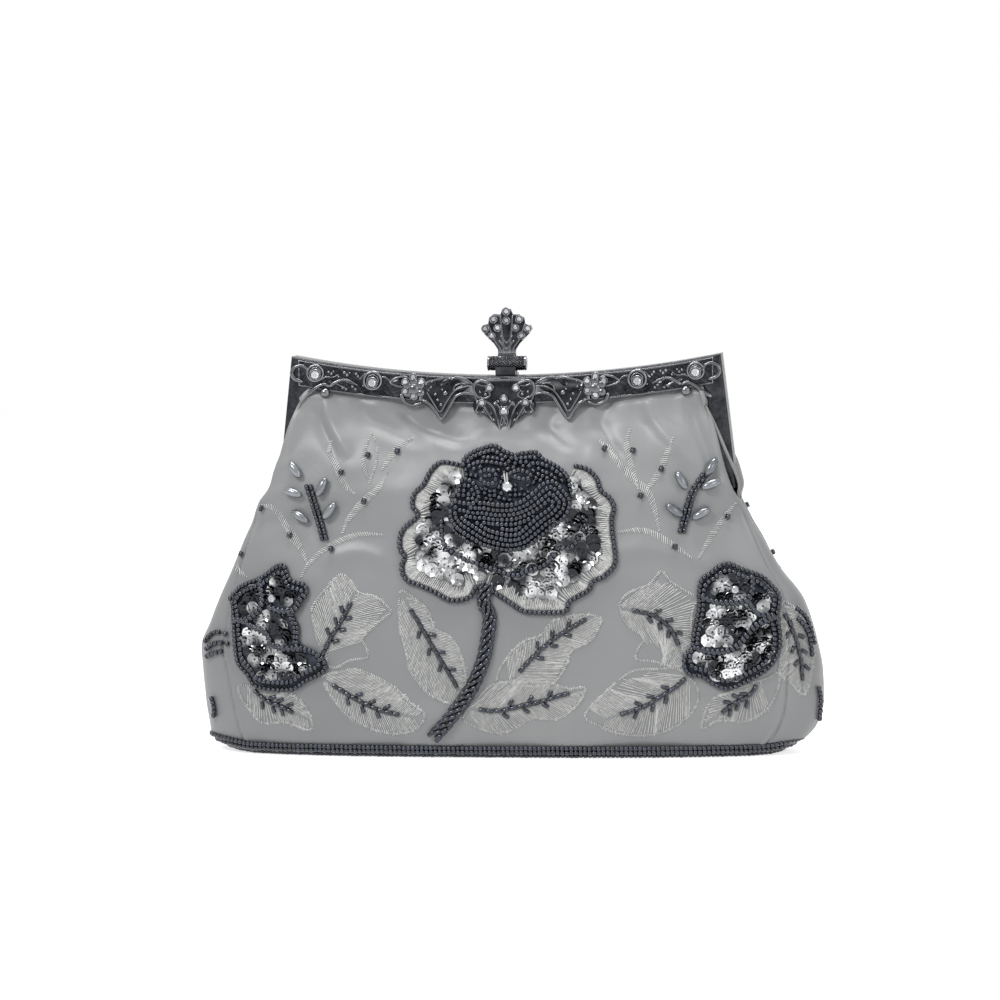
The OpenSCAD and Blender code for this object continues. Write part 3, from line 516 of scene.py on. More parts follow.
def half_width(z, right, back):
    """Half width of the cloth on one side. right and back are 0 or 1, or arrays of them."""
    low = body_w / 2 * np.where(right, right_share(z / hinge_z), left_share(z / hinge_z))
    t = high_t(z)
    corner = z + upper_follow(t) * arc_rise(frame_w / 2)
    front_inset = np.where(right, inset_right(t), inset_left(t))
    join = smoothstep(t, 0, 0.2)
    base_inset = np.where(right, inset_right(0), inset_left(0))
    inset = np.where(back, base_inset * (1 - join) + inset_back(t) * join, front_inset)
    return np.where(z < hinge_z, low, leg_edge(corner) - inset * leg_face(corner))


def half_depth(z):
    low = hinge_d / 2 + (body_d - hinge_d) / 2 * depth_share(z / hinge_z)
    high = tuck_y + (hinge_d / 2 - tuck_y) * upper_depth(high_t(z))
    return np.where(z < hinge_z, low, high)


def edge_depth(z):
    tucked = smoothstep(z, high_z(0.93), high_z(0.99))
    over = lift_share(z / hinge_z) * (proud_y + cloth_t)
    return over * (1 - tucked) + tuck_y * tucked


def power_cos(s):
    return np.maximum(0, 1 - np.abs(s) ** outline_power) ** (1 / outline_power)


def cloth_point(z, turn, depth=0.0, back=0):
    """Points of the cloth at heights z and angles turn from the middle of the front, at a depth into it."""
    s = np.sin(turn)
    right = s > 0
    e = np.maximum(0, edge_depth(z) - depth)
    b = half_depth(z) - depth
    x = (half_width(z, right, back) - depth) * s
    side = np.where(np.cos(turn) > 0, -1, 1)
    y = side * (e + (b - e) * power_cos(s))
    return np.stack([x, y, z + follow(z) * arc_rise(x)], axis=-1)


# Folds of the front and back, each a line of photo pixels with its depth and width in metres
fold_lines = [
    ([(318.5, 404), (318.5, 417), (324, 431), (331.5, 445), (338, 462)], -0.9 * mm, 2.2 * mm),
    ([(323, 400), (330, 418), (338, 437), (350, 458)], 0.8 * mm, 3.0 * mm),
    ([(300, 408), (291, 430), (280, 456), (268, 482)], 0.9 * mm, 3.4 * mm),
    ([(352, 400), (372, 420), (402, 436), (436, 445)], -0.7 * mm, 3.5 * mm),
    ([(398, 404), (420, 424), (452, 438), (482, 440)], -0.8 * mm, 3.0 * mm),
    ([(560, 405), (548, 422), (560, 440), (590, 452)], -0.7 * mm, 3.6 * mm),
    ([(612, 398), (600, 420), (612, 446), (634, 470)], -0.7 * mm, 3.4 * mm),
    ([(650, 395), (652, 416), (672, 440), (694, 468)], 0.8 * mm, 3.4 * mm),
    ([(690, 392), (694, 420), (706, 450), (716, 484)], -0.8 * mm, 2.6 * mm),
    ([(330, 560), (350, 552), (372, 556), (392, 570)], 0.5 * mm, 3.5 * mm),
    ([(600, 560), (640, 548), (680, 552), (712, 566)], 0.5 * mm, 4.0 * mm),
    ([(300, 700), (400, 716), (520, 716), (640, 712), (740, 700)], 0.6 * mm, 6.0 * mm),
]


fold_strength = 1.7


def line_field(px, line, depth, wide):
    """Displacement of a fold: deepest along its line, fading to the sides and to both ends."""
    line = spline(np.array(line, float), 24)
    nearest = np.full(px.shape[:-1], 1e9)
    share = np.zeros(px.shape[:-1])
    for i, p in enumerate(line):
        far = np.hypot(px[..., 0] - p[0], px[..., 1] - p[1])
        closer = far < nearest
        nearest = np.where(closer, far, nearest)
        share = np.where(closer, i / (len(line) - 1), share)
    across = np.exp(-(nearest / (wide * px_per_metre)) ** 2)
    return depth * across * np.clip(4 * share + 0.35, 0, 1) * np.clip(4 * (1 - share), 0, 1)


def spline(points, steps, closed=False):
    """Smooth curve through points, as a dense line."""
    n = len(points)
    spans = n if closed else n - 1
    out = []
    for i in range(spans):
        if closed:
            p0, p1, p2, p3 = points[(i - 1) % n], points[i], points[(i + 1) % n], points[(i + 2) % n]
        else:
            p0, p1, p2, p3 = points[max(0, i - 1)], points[i], points[i + 1], points[min(n - 1, i + 2)]
        t = np.linspace(0, 1, steps, endpoint=False)[:, None]
        out.append(0.5 * (2 * p1 + (p2 - p0) * t + (2 * p0 - 5 * p1 + 4 * p2 - p3) * t ** 2
                          + (3 * p1 - p0 - 3 * p2 + p3) * t ** 3))
    if not closed:
        out.append(points[-1][None])
    return np.concatenate(out)


half_turn = np.array([-1, -1, 1])
lap_angle = math.radians(4)
cloth_rows = 176
cloth_columns = 281
cloth_low = 0.0075
# Uneven cloth: height of the waves, their size, seed and number
broad_waves = (1.3 * mm, 46 * mm, 3, 7)
small_waves = (0.26 * mm, 15 * mm, 5, 11)
gathers = (0.95 * mm, 12 * mm, 9, 9)
gather_reach = 13 * mm
gather_stretch = 0.25
calm_reach = (6 * mm, 14 * mm)
# Seam between panel and gusset, and how far the gusset is tucked in behind it
seam_depth = 0.9 * mm
seam_swell = 0.5 * mm
tuck_depth = 3.2 * mm


def grid_normals(p):
    du = np.gradient(p, axis=1)
    dv = np.gradient(p, axis=0)
    n = np.cross(du, dv)
    return n / np.maximum(1e-12, np.linalg.norm(n, axis=-1, keepdims=True))


def wavy(waves, u, v):
    high, size, seed, count = waves
    return high * ripple(u, v, size, seed, count)


def cloth_grid(back):
    """Half of the bag's cloth as a grid of points, from side to side and from the base to the rail."""
    v = np.linspace(0, 1, cloth_rows)
    z = cloth_low * hinge_z + (cloth_top_z - cloth_low * hinge_z) * (0.35 * v ** 2 + 0.65 * v)
    zz, uu = np.meshgrid(z, np.linspace(-1, 1, cloth_columns), indexing="ij")
    lap = (0 if back else lap_angle) * (1 - smoothstep(zz, 0.84 * hinge_z, 0.93 * hinge_z))
    turn = uu * math.pi / 2 + np.sign(uu) * lap * smoothstep(np.abs(uu), 0.98, 1)
    under = 0.5 * mm * smoothstep(np.abs(turn), math.radians(89), math.radians(91))
    p = cloth_point(zz, turn + (math.pi if back else 0), under, back)
    n = grid_normals(p)
    if np.mean(n[..., 1]) * (1 if back else -1) < 0:
        n = -n
    front = p * half_turn if back else p
    x, z = front[..., 0], front[..., 2]
    calm = smoothstep(cloth_top_z - z + arc_rise(x), *calm_reach)
    push = wavy(broad_waves, x, z) * calm + wavy(small_waves, x, z) * calm
    below_rail = np.exp(-np.square((arc_z(rail_face, x) - z) / gather_reach))
    push += below_rail * wavy(gathers, x, gather_stretch * z)
    px = seen_at(front)
    for line, deep, wide in fold_lines:
        push += fold_strength * line_field(px, line, deep, wide)
    seam = seam_share(zz / hinge_z) * math.pi / 2
    off = (np.abs(turn) - seam) * half_width(zz, uu > 0, back)
    seam_on = 1 - smoothstep(zz, 0.9 * hinge_z, hinge_z)
    push -= seam_depth * np.exp(-np.square(off / (0.9 * mm))) * seam_on
    push += seam_swell * np.exp(-np.square((off + 3 * mm) / (2 * mm))) * seam_on
    push *= 1 - smoothstep(np.abs(uu), 0.94, 1)
    tuck = smoothstep(zz, 0.25 * hinge_z, 0.8 * hinge_z) * seam_on
    push -= tuck_depth * tuck * smoothstep(np.abs(turn) - seam, 0, math.pi / 2 - 1.2)
    return p + n * push[..., None]


def thicken(obj, thick):
    """Give a sheet its thickness, inwards from the faces that it has."""
    shell = obj.modifiers.new("thickness", "SOLIDIFY")
    shell.thickness = thick
    shell.offset = -1
    apply_modifiers(obj)


def cloth_sheet(name, points, thick, material):
    rows, columns = points.shape[:2]
    obj = new_object(name, points.reshape(-1, 3), grid_faces(rows, columns))
    thicken(obj, thick)
    obj.data.materials.append(material)
    return obj


def facing(points, out_y):
    """The grid with its faces turned to the outside."""
    n = grid_normals(points)
    return points if np.mean(n[..., 1]) * out_y > 0 else points[:, ::-1]


def bend_with_back(obj):
    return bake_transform(obj)


def finish_side(obj, back, material, nodes=()):
    """Pieces of the front ride the bag, and pieces of the back have their placing baked into their mesh."""
    finish_piece(obj, material, None if back else "bag", nodes)
    if back:
        bend_with_back(obj)


def tree_of(points):
    rows, columns = points.shape[:2]
    return BVHTree.FromPolygons(points.reshape(-1, 3).tolist(), grid_faces(rows, columns).tolist())


make_camera()
front_points = facing(cloth_grid(0), -1)
back_points = facing(cloth_grid(1), 1)
front_tree, back_tree = tree_of(front_points), tree_of(back_points)

front_cloth = cloth_sheet("front_cloth", front_points, cloth_t, satin)
finish_side(front_cloth, False, satin, ["front_panel", "left_gusset", "right_gusset"])
rear_cloth = cloth_sheet("rear_cloth", back_points, cloth_t, satin)
finish_side(rear_cloth, True, satin, ["rear_panel", "rear_flap", "side_folds"])

lining_t = 0.5 * mm
lining_low = 5 * mm


def lining_grid(back):
    z = lining_low + (cloth_top_z - lining_low) * np.linspace(0, 1, 60)
    zz, uu = np.meshgrid(z, np.linspace(-1, 1, 90), indexing="ij")
    depth = cloth_t + 1.4 * mm + 3.5 * mm * (1 - smoothstep(zz, lining_low, 14 * mm))
    narrow = 1.5 * mm + 3 * mm * smoothstep(zz, 0.95 * hinge_z, 1.05 * hinge_z)
    p = cloth_point(zz, uu * math.pi / 2 * 0.985 + (math.pi if back else 0), depth, 1)
    outer = np.sign(p[..., 0])
    p[..., 0] -= outer * narrow * smoothstep(np.abs(uu), 0.7, 1)
    deep = np.abs(p[..., 1])
    near_frame = smoothstep(zz, hinge_z, high_z(0.3)) * smoothstep(np.abs(uu), 0.8, 1)
    limit = tuck_y - cloth_t - 0.3 * mm
    p[..., 1] = np.sign(p[..., 1]) * (deep * (1 - near_frame) + np.minimum(deep, limit) * near_frame)
    tuck = smoothstep(zz, 0.25 * hinge_z, 0.8 * hinge_z) * (1 - smoothstep(zz, 0.9 * hinge_z, hinge_z))
    p[..., 0] -= outer * 3.4 * mm * tuck * smoothstep(np.abs(uu), 0.75, 1)
    return p


for back, name, nodes in ((False, "front_lining_cloth", ["front_lining", "lining_bag"]),
                          (True, "rear_lining_cloth", ["rear_lining"])):
    grid = facing(lining_grid(back), 1 if back else -1)
    finish_side(cloth_sheet(name, grid, lining_t, lining_cloth), back, lining_cloth, nodes)

bottom_t = 0.8 * mm
bottom_count = 120
# Rings of the bottom: depth inside the cloth and height, then share of the last ring
bottom_rim = [(2.2, 2.0), (1.2, 1.0), (2.0, 0.35), (4, 0.05)]
bottom_shares = [0.75, 0.45, 0.15]


def base_loop(z, inset):
    turn = np.linspace(0, 2 * math.pi, bottom_count, endpoint=False)
    return cloth_point(np.full(bottom_count, z), turn, inset, 1)


def make_bottom():
    rings = []
    for inset, z in bottom_rim:
        rings.append(base_loop(bottom_t, inset * mm))
        rings[-1][:, 2] = z * mm
    for share in bottom_shares:
        rings.append(base_loop(bottom_t, bottom_rim[-1][0] * mm) * np.array([share, share, 1]))
        rings[-1][:, 2] = 0.3 * mm
    faces = [list(f[::-1]) for f in grid_faces(len(rings), bottom_count, closed=True)]
    faces.append(list(range((len(rings) - 1) * bottom_count, len(rings) * bottom_count)))
    obj = new_object("bottom_cloth", np.concatenate(rings), faces)
    thicken(obj, bottom_t)
    return finish_piece(obj, satin, "bag", ["bottom_panel"])


make_bottom()
for material, names in (
        (board_stuff, ["base_board"]), (paper_stuff, ["front_hem_cord", "rear_hem_cord"]),
        (frame_metal, ["clasp_bracket", "clasp_pin", "catch_post"]), (spring_metal, ["latch_tongue"]),
        (cast_metal, ["front_rail_ornament", "rear_rail_ornament", "clasp_drum", "fan_knob"]),
        (crystal, ["rail_stones", "fan_stones"])):
    for name in names:
        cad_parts[name].data.materials.clear()
        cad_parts[name].data.materials.append(material)


# Frame halves: a rolled sheet metal channel along the legs and the rail
channel_profile = [
    (0, 0.25, -0.3), (0, 0, -0.6), (0, 0, -6.9), (0, 0.12, -7.5), (0, 0.45, -7.95), (0, 1.0, -8.15),
    (0, 1.7, -8.0),
    (1, -1.5, -8.0), (1, -0.8, -8.18), (1, -0.25, -8.0), (1, 0, -7.6), (1, -0.2, -7.15), (1, -0.8, -7.0),
    (0, 1.6, -7.0), (0, 1.0, -6.4), (0, 1.0, -0.6), (0, 0.8, -0.3)
]
grip_profile = [(0, 1, -3.1), (0, 1, -2.4), (0, 6.6, -2.4), (0, 7, -2.75), (0, 6.6, -3.1)]


def frame_stations():
    """Stations of the frame: a leg's height, the corner, or a place along the rail."""
    low = hinge_z + ear_r + metal_t / 2
    legs = np.linspace(low, frame_h - 0.6 * mm, 22)
    rail = np.linspace(-1, 1, 91)[1:-1] * (frame_w / 2 - 0.4 * mm)
    return ([("leg", -1, z) for z in legs] + [("corner", -1, 0)] + [("rail", 0, x) for x in rail]
            + [("corner", 1, 0)] + [("leg", 1, z) for z in legs[::-1]])


def station_point(station, share, extra, y, face_share=1.0):
    kind, side, at = station
    if kind == "leg":
        d = share * leg_face(at) * face_share + extra
        top = arc_z(share * rail_face * face_share + extra, leg_edge(at) - d)
        return (side * (leg_edge(at) - d), y, min(at, top) if share or extra else at)
    if kind == "corner":
        x = frame_w / 2 - share * leg_top_face * face_share - extra
        return (side * x, y, arc_z(share * rail_face * face_share + extra, x))
    d = share * rail_face * face_share + extra
    limit = frame_w / 2 - share * leg_top_face * face_share - extra
    x = max(-limit, min(limit, at))
    return (x, y, arc_z(d, x))


def sweep_profile(profile, side_y):
    stations = frame_stations()
    verts = [station_point(s, share, extra * mm, -y * mm * side_y) for s in stations for share, extra,
             y in profile]
    return np.array(verts), loft_faces(len(stations), len(profile))


def join_parts(parts):
    verts, corners, counts, start = [], [], [], 0
    for v, f in parts:
        c, n = flat_faces(f)
        verts.append(np.asarray(v, float))
        corners.append(c + start)
        counts.append(n)
        start += len(v)
    return np.concatenate(verts), (np.concatenate(corners), np.concatenate(counts))


ear_t = 1.2 * mm
ear_round = 0.12 * mm
ear_lap = 0.7 * mm
ear_gap = 0.3 * mm
web_z = hinge_z + ear_r + 1.5 * metal_t
rear_ear_x = leg_edge(web_z) - ear_lap
front_ear_x = rear_ear_x - ear_gap - ear_t


def ear_plate(x, side_y):
    """Rounded ear of the frame, on the hinge axis and up into the leg."""
    top = hinge_z + ear_r + 2.6 * mm
    outline = [(ear_r * math.cos(a), hinge_z + ear_r * math.sin(a)) for a in np.linspace(math.pi,
                                                                                         2 * math.pi,
                                                                                         17)[:-1]]
    outline += [(ear_r * 0.98, hinge_z + 1 * mm), (7.4 * mm, hinge_z + 3.6 * mm), (7.6 * mm, top),
                (0.3 * mm, top)]
    outline += [(0.3 * mm, hinge_z + ear_r), (-ear_r * 0.75, hinge_z + ear_r * 0.62)]
    verts = []
    for dx, inset in ((0, ear_round), (ear_round, 0), (ear_t - ear_round, 0), (ear_t, ear_round)):
        k = 1 - inset / ear_r
        verts += [(x + dx, side_y * y * k, hinge_z + (z - hinge_z) * k) for y, z in outline]
    return verts, loft_faces(4, len(outline))


def make_frame(name, side_y, body, ear_x):
    parts = [sweep_profile(channel_profile, side_y), sweep_profile(grip_profile, side_y)]
    parts += [ear_plate(-ear_x - ear_t, side_y), ear_plate(ear_x, side_y)]
    obj = new_object(name, *join_parts(parts), smooth=False)
    fix_normals(obj)
    bevel_smooth(obj, 35)
    return finish_piece(obj, frame_metal, body, [name.replace("_shell", "")])


make_frame("front_frame_shell", -1, "bag", front_ear_x)
make_frame("rear_frame_shell", 1, "rear_half", rear_ear_x)


def turned(profile, count=24):
    """Closed solid of revolution about Z through (radius, height) points, starting and ending on the axis."""
    verts = [(0, 0, profile[0][1])]
    verts += [(r * math.cos(a), r * math.sin(a), h) for r, h in profile[1:-1] for a in circle(count)]
    verts.append((0, 0, profile[-1][1]))
    return np.array(verts), poled_faces(len(profile) - 2, count)


# Rivet: radius and place of its outline, inside the front ear and then outside the rear ear, in millimetres
rivet_inner = [(0, -1.1), (1.6, -1.0), (2.7, -0.6), (3, 0), (1.5, 0)]
rivet_outer = [(1.5, 0), (3, 0), (2.8, 0.45), (1.9, 0.85), (0, 1)]


def make_rivets():
    inner, outer = front_ear_x - 0.1 * mm, rear_ear_x + 1.3 * mm
    profile = [(r * mm, inner + h * mm) for r, h in rivet_inner] + [(r * mm, outer + h * mm) for r,
                                                                    h in rivet_outer]
    verts, faces = turned(profile)
    for side, name in ((1, "right_hinge_rivet"), (-1, "left_hinge_rivet")):
        placed = np.stack([side * verts[:, 2], verts[:, 0], hinge_z + verts[:, 1]], axis=1)
        obj = new_object(name + "_domed", placed, faces)
        fix_normals(obj)
        bevel_smooth(obj, 40)
        finish_piece(obj, frame_metal, "bag", [name])


make_rivets()


# Small shapes of the beadwork: x along the thread, y across it and z away from the cloth
seed_profile = [(0.33, -0.47), (0.68, -0.5), (0.93, -0.3), (1, 0), (0.93, 0.3), (0.68, 0.5), (0.33, 0.47)]
bugle_profile = [(0.4, -0.5), (0.88, -0.48), (1, -0.42), (1, 0.42), (0.88, 0.48), (0.4, 0.5)]
stitch_profile = [(-0.5, -0.5, 0.6), (-0.36, 0.25, 1), (0.0, 0.45, 1), (0.36, 0.25, 1), (0.5, -0.5, 0.6)]
sequin_profile = [(0.15, 0), (0.5, 0.07), (1, 0.3)]
sequin_t = 0.12 * mm
sequin_wave = 0.035


def holed_shape(profile, radius, length, sides):
    """Bead with a hole along the thread, from shares of its radius and length."""
    verts = [(h * length, r * radius * math.cos(a), r * radius * math.sin(a)) for r,
             h in profile for a in circle(sides)]
    faces = [list(f[::-1]) for f in grid_faces(len(profile), sides, closed=True)]
    last = (len(profile) - 1) * sides
    faces += [[i, (i + 1) % sides, last + (i + 1) % sides, last + i] for i in range(sides)]
    return np.array(verts), np.array(faces)


def stitch_shape():
    """Thread of unit length, with its ends in the cloth."""
    sides = 5
    verts = [(x, r * math.cos(a), h + r * math.sin(a)) for x, h, r in stitch_profile for a in circle(sides)]
    faces = [list(f[::-1]) for f in grid_faces(len(stitch_profile), sides, closed=True)]
    faces += [[0, 1, 2, 3], [0, 3, 4], [20, 23, 22, 21], [20, 24, 23]]
    return np.array(verts), faces


def sequin_shape(radius):
    """Cupped sequin with eight flats round its hole."""
    sides = 16
    angles = circle(sides)
    verts = []
    for r, h in sequin_profile:
        edge = [r * radius * (1 + sequin_wave * (1 - 2 * (i % 2)) * (r > 0.3)) for i in range(sides)]
        verts += [(e * math.cos(a), e * math.sin(a), h * radius) for a, e in zip(angles, edge)]
    for r, h in sequin_profile[::-1]:
        verts += [(r * radius * math.cos(a), r * radius * math.sin(a),
                   h * radius - sequin_t) for a in angles]
    faces = [list(f) for f in grid_faces(6, sides, closed=True)]
    faces += [[5 * sides + i, 5 * sides + (i + 1) % sides, (i + 1) % sides, i] for i in range(sides)]
    return np.array(verts), faces


def ellipsoid_shape(length, thick, rings=8, sides=14):
    verts = [(-length / 2, 0, 0)]
    for a in np.arange(1, rings) * math.pi / rings:
        r, x = thick / 2 * math.sin(a) ** 0.85, -length / 2 * math.cos(a)
        verts += [(x, r * math.cos(b), r * math.sin(b)) for b in circle(sides)]
    verts.append((length / 2, 0, 0))
    return np.array(verts), [f[::-1] for f in poled_faces(rings - 1, sides)]


def stone_shape(radius, height):
    """Cut stone: girdle, crown facets and a flat table."""
    n = 8
    verts = []
    for share, turn, up in ((1, 0, 0), (1, 0, 0.25), (0.82, math.pi / n, 0.68), (0.55, 0, 1)):
        verts += [(share * radius * math.cos(a), share * radius * math.sin(a),
                   up * height) for a in circle(n) + turn]
    faces = [list(range(n))[::-1], list(range(3 * n, 4 * n))]
    for i in range(n):
        j = (i + 1) % n
        faces += [[i, j, n + j, n + i], [n + i, n + j, 2 * n + i], [n + j, 2 * n + j, 2 * n + i],
                  [2 * n + i, 3 * n + j, 3 * n + i], [2 * n + i, 2 * n + j, 3 * n + j]]
    return np.array(verts), faces


bead_r = 1.13 * mm
bead_pitch = 2.02 * mm
row_pitch = 2.15 * mm
thread_r = 0.26 * mm
mm_px = px_per_metre * mm
seed = holed_shape(seed_profile, bead_r, 1.85 * mm, 8)
bugle = holed_shape(bugle_profile, 0.95 * mm, 1.0, 6)
square_bead = holed_shape(bugle_profile, 1.15 * mm, 2.3 * mm, 4)
stitch = stitch_shape()
sequin = sequin_shape(2.95 * mm)
rice_pearl = ellipsoid_shape(8.9 * mm, 4 * mm)
rhinestone = stone_shape(2.3 * mm, 1.5 * mm)
small_rhinestone = stone_shape(1.9 * mm, 1.3 * mm)


# Crops of the photograph: left edge, top edge and enlargement
crop_rose = (390, 430, 6.533)
crop_left = (190, 540, 6.817)
crop_right = (620, 540, 6.817)
crop_stem = (400, 560, 7.127)
crop_high_left = (190, 380, 6.817)
crop_high_right = (600, 330, 6.031)
crop_photo = (0, 0, 1)


def crop_px(crop, point):
    return np.array([crop[0] + point[0] / crop[2], crop[1] + point[1] / crop[2]])


def photo_line(crop, points, closed=False, steps=10):
    return spline(np.array([crop_px(crop, p) for p in points]), steps, closed)


def seat(px):
    """Places on the front cloth under photo pixels, with the cloth's normals there."""
    places, normals = [], []
    for x, y in np.atleast_2d(px):
        way = sight(x, y)
        hit, normal, _, _ = front_tree.ray_cast(Vector(eye), Vector(way))
        if hit is None:
            hit, normal, _, _ = front_tree.find_nearest(Vector(eye + way * (camera_far - 0.01)))
        places.append(hit)
        normals.append(normal if normal.dot(Vector(way)) < 0 else -normal)
    return np.array(places), np.array(normals)


def spaced(line, pitch, closed=False):
    """Evenly spaced places on the cloth along a line of photo pixels, with normals and directions."""
    p, n = seat(line)
    if closed:
        p, n = np.vstack([p, p[:1]]), np.vstack([n, n[:1]])
    run = run_along(p)
    count = max(2, int(round(run[-1] / pitch)) + (0 if closed else 1))
    at = np.linspace(0, run[-1], count, endpoint=not closed)
    step = 0.6 * mm
    way = placed_at(at + step, run, p) - placed_at(at - step, run, p)
    return placed_at(at, run, p), unit(placed_at(at, run, n)), unit(way)


class Batch:
    """Copies of one small shape, each with a place, a normal, a direction, a lift and a size."""

    def __init__(self, shape):
        self.shape = shape
        self.rows = []

    def add(self, place, normal, way, lift, size=1.0, tilt=0.0):
        place, normal, way = (np.atleast_2d(a) for a in (place, normal, way))
        n = len(place)
        size = np.asarray(size, float).reshape(-1, 3) if np.ndim(size) else np.full((1, 3), size)
        spread = np.broadcast_to
        self.rows.append((place, normal, way, spread(lift, n), spread(size, (n, 3)), spread(tilt, n)))

    def mesh(self, back=False, sprig=False):
        place, normal, way, lift, size, tilt = (np.concatenate([r[k] for r in self.rows]) for k in range(6))
        if back:
            place, normal, way = to_back(place, way, sprig)
        way = unit(way - np.sum(way * normal, axis=1, keepdims=True) * normal)
        side = np.cross(normal, way)
        c, s = np.cos(tilt)[:, None], np.sin(tilt)[:, None]
        axes = np.stack([way * c + normal * s, side, normal * c - way * s], axis=1)
        v, f = self.shape
        shape = v[None] * size[:, None, :]
        verts = (place + normal * lift[:, None])[:, None, :]
        verts = verts + sum(shape[..., k:k + 1] * axes[:, k:k + 1] for k in range(3))
        corners, counts = flat_faces(f)
        corners = (corners[None] + len(v) * np.arange(len(place))[:, None]).ravel()
        return verts.reshape(-1, 3), (corners, np.tile(counts, len(place)))


sprig_narrow = 0.85
sprig_rise = 0.635 * (rail_low_z - hinge_z)


def to_back(place, way, sprig):
    """The same places on the back, turned half round, with the pearl sprigs higher and nearer the middle."""
    p = place * half_turn
    if sprig:
        p = p * np.array([sprig_narrow, 1, 1]) + np.array([0, 0, sprig_rise])
    hits, normals = [], []
    for q in p:
        hit, normal, _, _ = back_tree.find_nearest(Vector(q))
        hits.append(hit)
        normals.append(normal if normal.y > -0.2 else -normal)
    return np.array(hits), np.array(normals), way * half_turn


def side_name(back):
    return "rear_" if back else "front_"


def make_beadwork(name, batches, material, nodes=(), sprig=False, smooth=True):
    """One mesh of a kind of beadwork on the front, and its copy on the back."""
    for back in (False, True):
        parts = [b.mesh(back, sprig) for b in batches]
        obj = new_object(side_name(back) + name, *join_parts(parts), smooth=smooth)
        finish_side(obj, back, material, [side_name(back) + n for n in nodes])


def inside(polygon, points):
    """Which points lie inside a closed polygon."""
    x, y = points[:, :1], points[:, 1:]
    x0, y0 = polygon[:, 0], polygon[:, 1]
    x1, y1 = np.roll(x0, -1), np.roll(y0, -1)
    crosses = (y0 > y) != (y1 > y)
    at = (x1 - x0) * (y - y0) / np.where(y1 == y0, 1, y1 - y0) + x0
    return (crosses & (x < at)).sum(axis=1) % 2 == 1


def distance_to(line, points, closed=True):
    """Distance of points from a polyline."""
    starts = line if closed else line[:-1]
    run = (np.roll(line, -1, axis=0) if closed else line[1:]) - starts
    rel = points[:, None] - starts[None]
    t = np.clip(np.sum(rel * run, axis=2) / np.maximum(1e-12, np.sum(run * run, axis=1)), 0, 1)
    return np.linalg.norm(rel - t[..., None] * run, axis=2).min(axis=1)


class Spots:
    """Places already taken, kept in cells so that near ones are found quickly."""

    def __init__(self, cell):
        self.cell = cell
        self.cells = {}

    def claim(self, p, gap):
        """Take a place unless one nearer than the gap is taken."""
        i, j = int(p[0] // self.cell), int(p[1] // self.cell)
        near = [q for a in (i - 1, i, i + 1) for b in (j - 1, j, j + 1) for q in self.cells.get((a, b), ())]
        if any(math.hypot(p[0] - q[0], p[1] - q[1]) < gap for q in near):
            return False
        self.cells.setdefault((i, j), []).append(p)
        return True


def contour_fill(outline, pitch, spacing, taken, first=0.5, levels=30):
    """Places in rows that follow an outline inwards, in photo pixels, away from those taken."""
    tangent = unit(np.roll(outline, -1, axis=0) - np.roll(outline, 1, axis=0))
    inward = quarter_turn(tangent)
    if inside(outline, outline + inward * 0.5).mean() < 0.5:
        inward = -inward
    found = []
    for k in range(levels):
        deep = (first + k) * pitch
        row = outline + inward * deep
        good = inside(outline, row) & (distance_to(outline, row) > deep * 0.97)
        if not good.any():
            break
        found += [(p, t, deep) for p, t in zip(row[good], tangent[good]) if taken.claim(p, spacing)]
    return tuple(np.array([spot[k] for spot in found]) for k in range(3))


def way_on_cloth(px, ways, step=1.5):
    """Places on the cloth under photo pixels, with normals and directions laid on the cloth."""
    here, normal = seat(px)
    there, _ = seat(px + ways * step)
    return here, normal, unit(there - here)


def set_one(batch, crop, point, way, lift, step=1.5):
    """One copy at a point of a crop, turned along a direction of the photograph."""
    batch.add(*way_on_cloth(crop_px(crop, point)[None], np.array([way], float), step), lift, 1.0)


def shake(count, share):
    """Sizes of beads that differ a little."""
    return 1 + rng.uniform(-share, share, (count, 3))


def bead_line(batch, crop, points, closed=False, lift=0.0):
    place, normal, way = spaced(photo_line(crop, points, closed), bead_pitch, closed)
    sizes = shake(len(place), 0.06)
    batch.add(place, normal, way, lift + bead_r * 0.9 + rng.uniform(-0.1, 0.1, len(place)) * mm, sizes)


def bugle_line(batch, crop, points, length, lift=0.0, wide=1.0):
    place, normal, way = spaced(photo_line(crop, points), length * 1.04)
    place, normal, way = place[:-1] / 2 + place[1:] / 2, normal[:-1], way[:-1] / 2 + way[1:] / 2
    n = len(place)
    size = np.stack([length * 0.97 * rng.uniform(0.94, 1.0, n), np.full(n, wide), np.full(n, wide)], axis=1)
    batch.add(place, normal, way, lift + 0.75 * mm * wide, size, rng.uniform(-0.05, 0.05, n))


def stitches(batch, starts, ends, lift=0.0, thick=1.0):
    """Short threads between pairs of photo pixels."""
    a, na = seat(starts)
    b, nb = seat(ends)
    length = np.linalg.norm(b - a, axis=1)
    drawn = np.linalg.norm(ends - starts, axis=1) / px_per_metre
    good = (length > 0.4 * mm) & (length < 1.5 * drawn)
    length = length[good]
    thread = np.full(len(length), thread_r * thick)
    mid, _ = seat((starts[good] + ends[good]) / 2)
    batch.add(mid, unit(na + nb)[good], (b - a)[good] / length[:, None], lift + thread_r * 0.4,
              np.stack([length, thread, thread], axis=1))


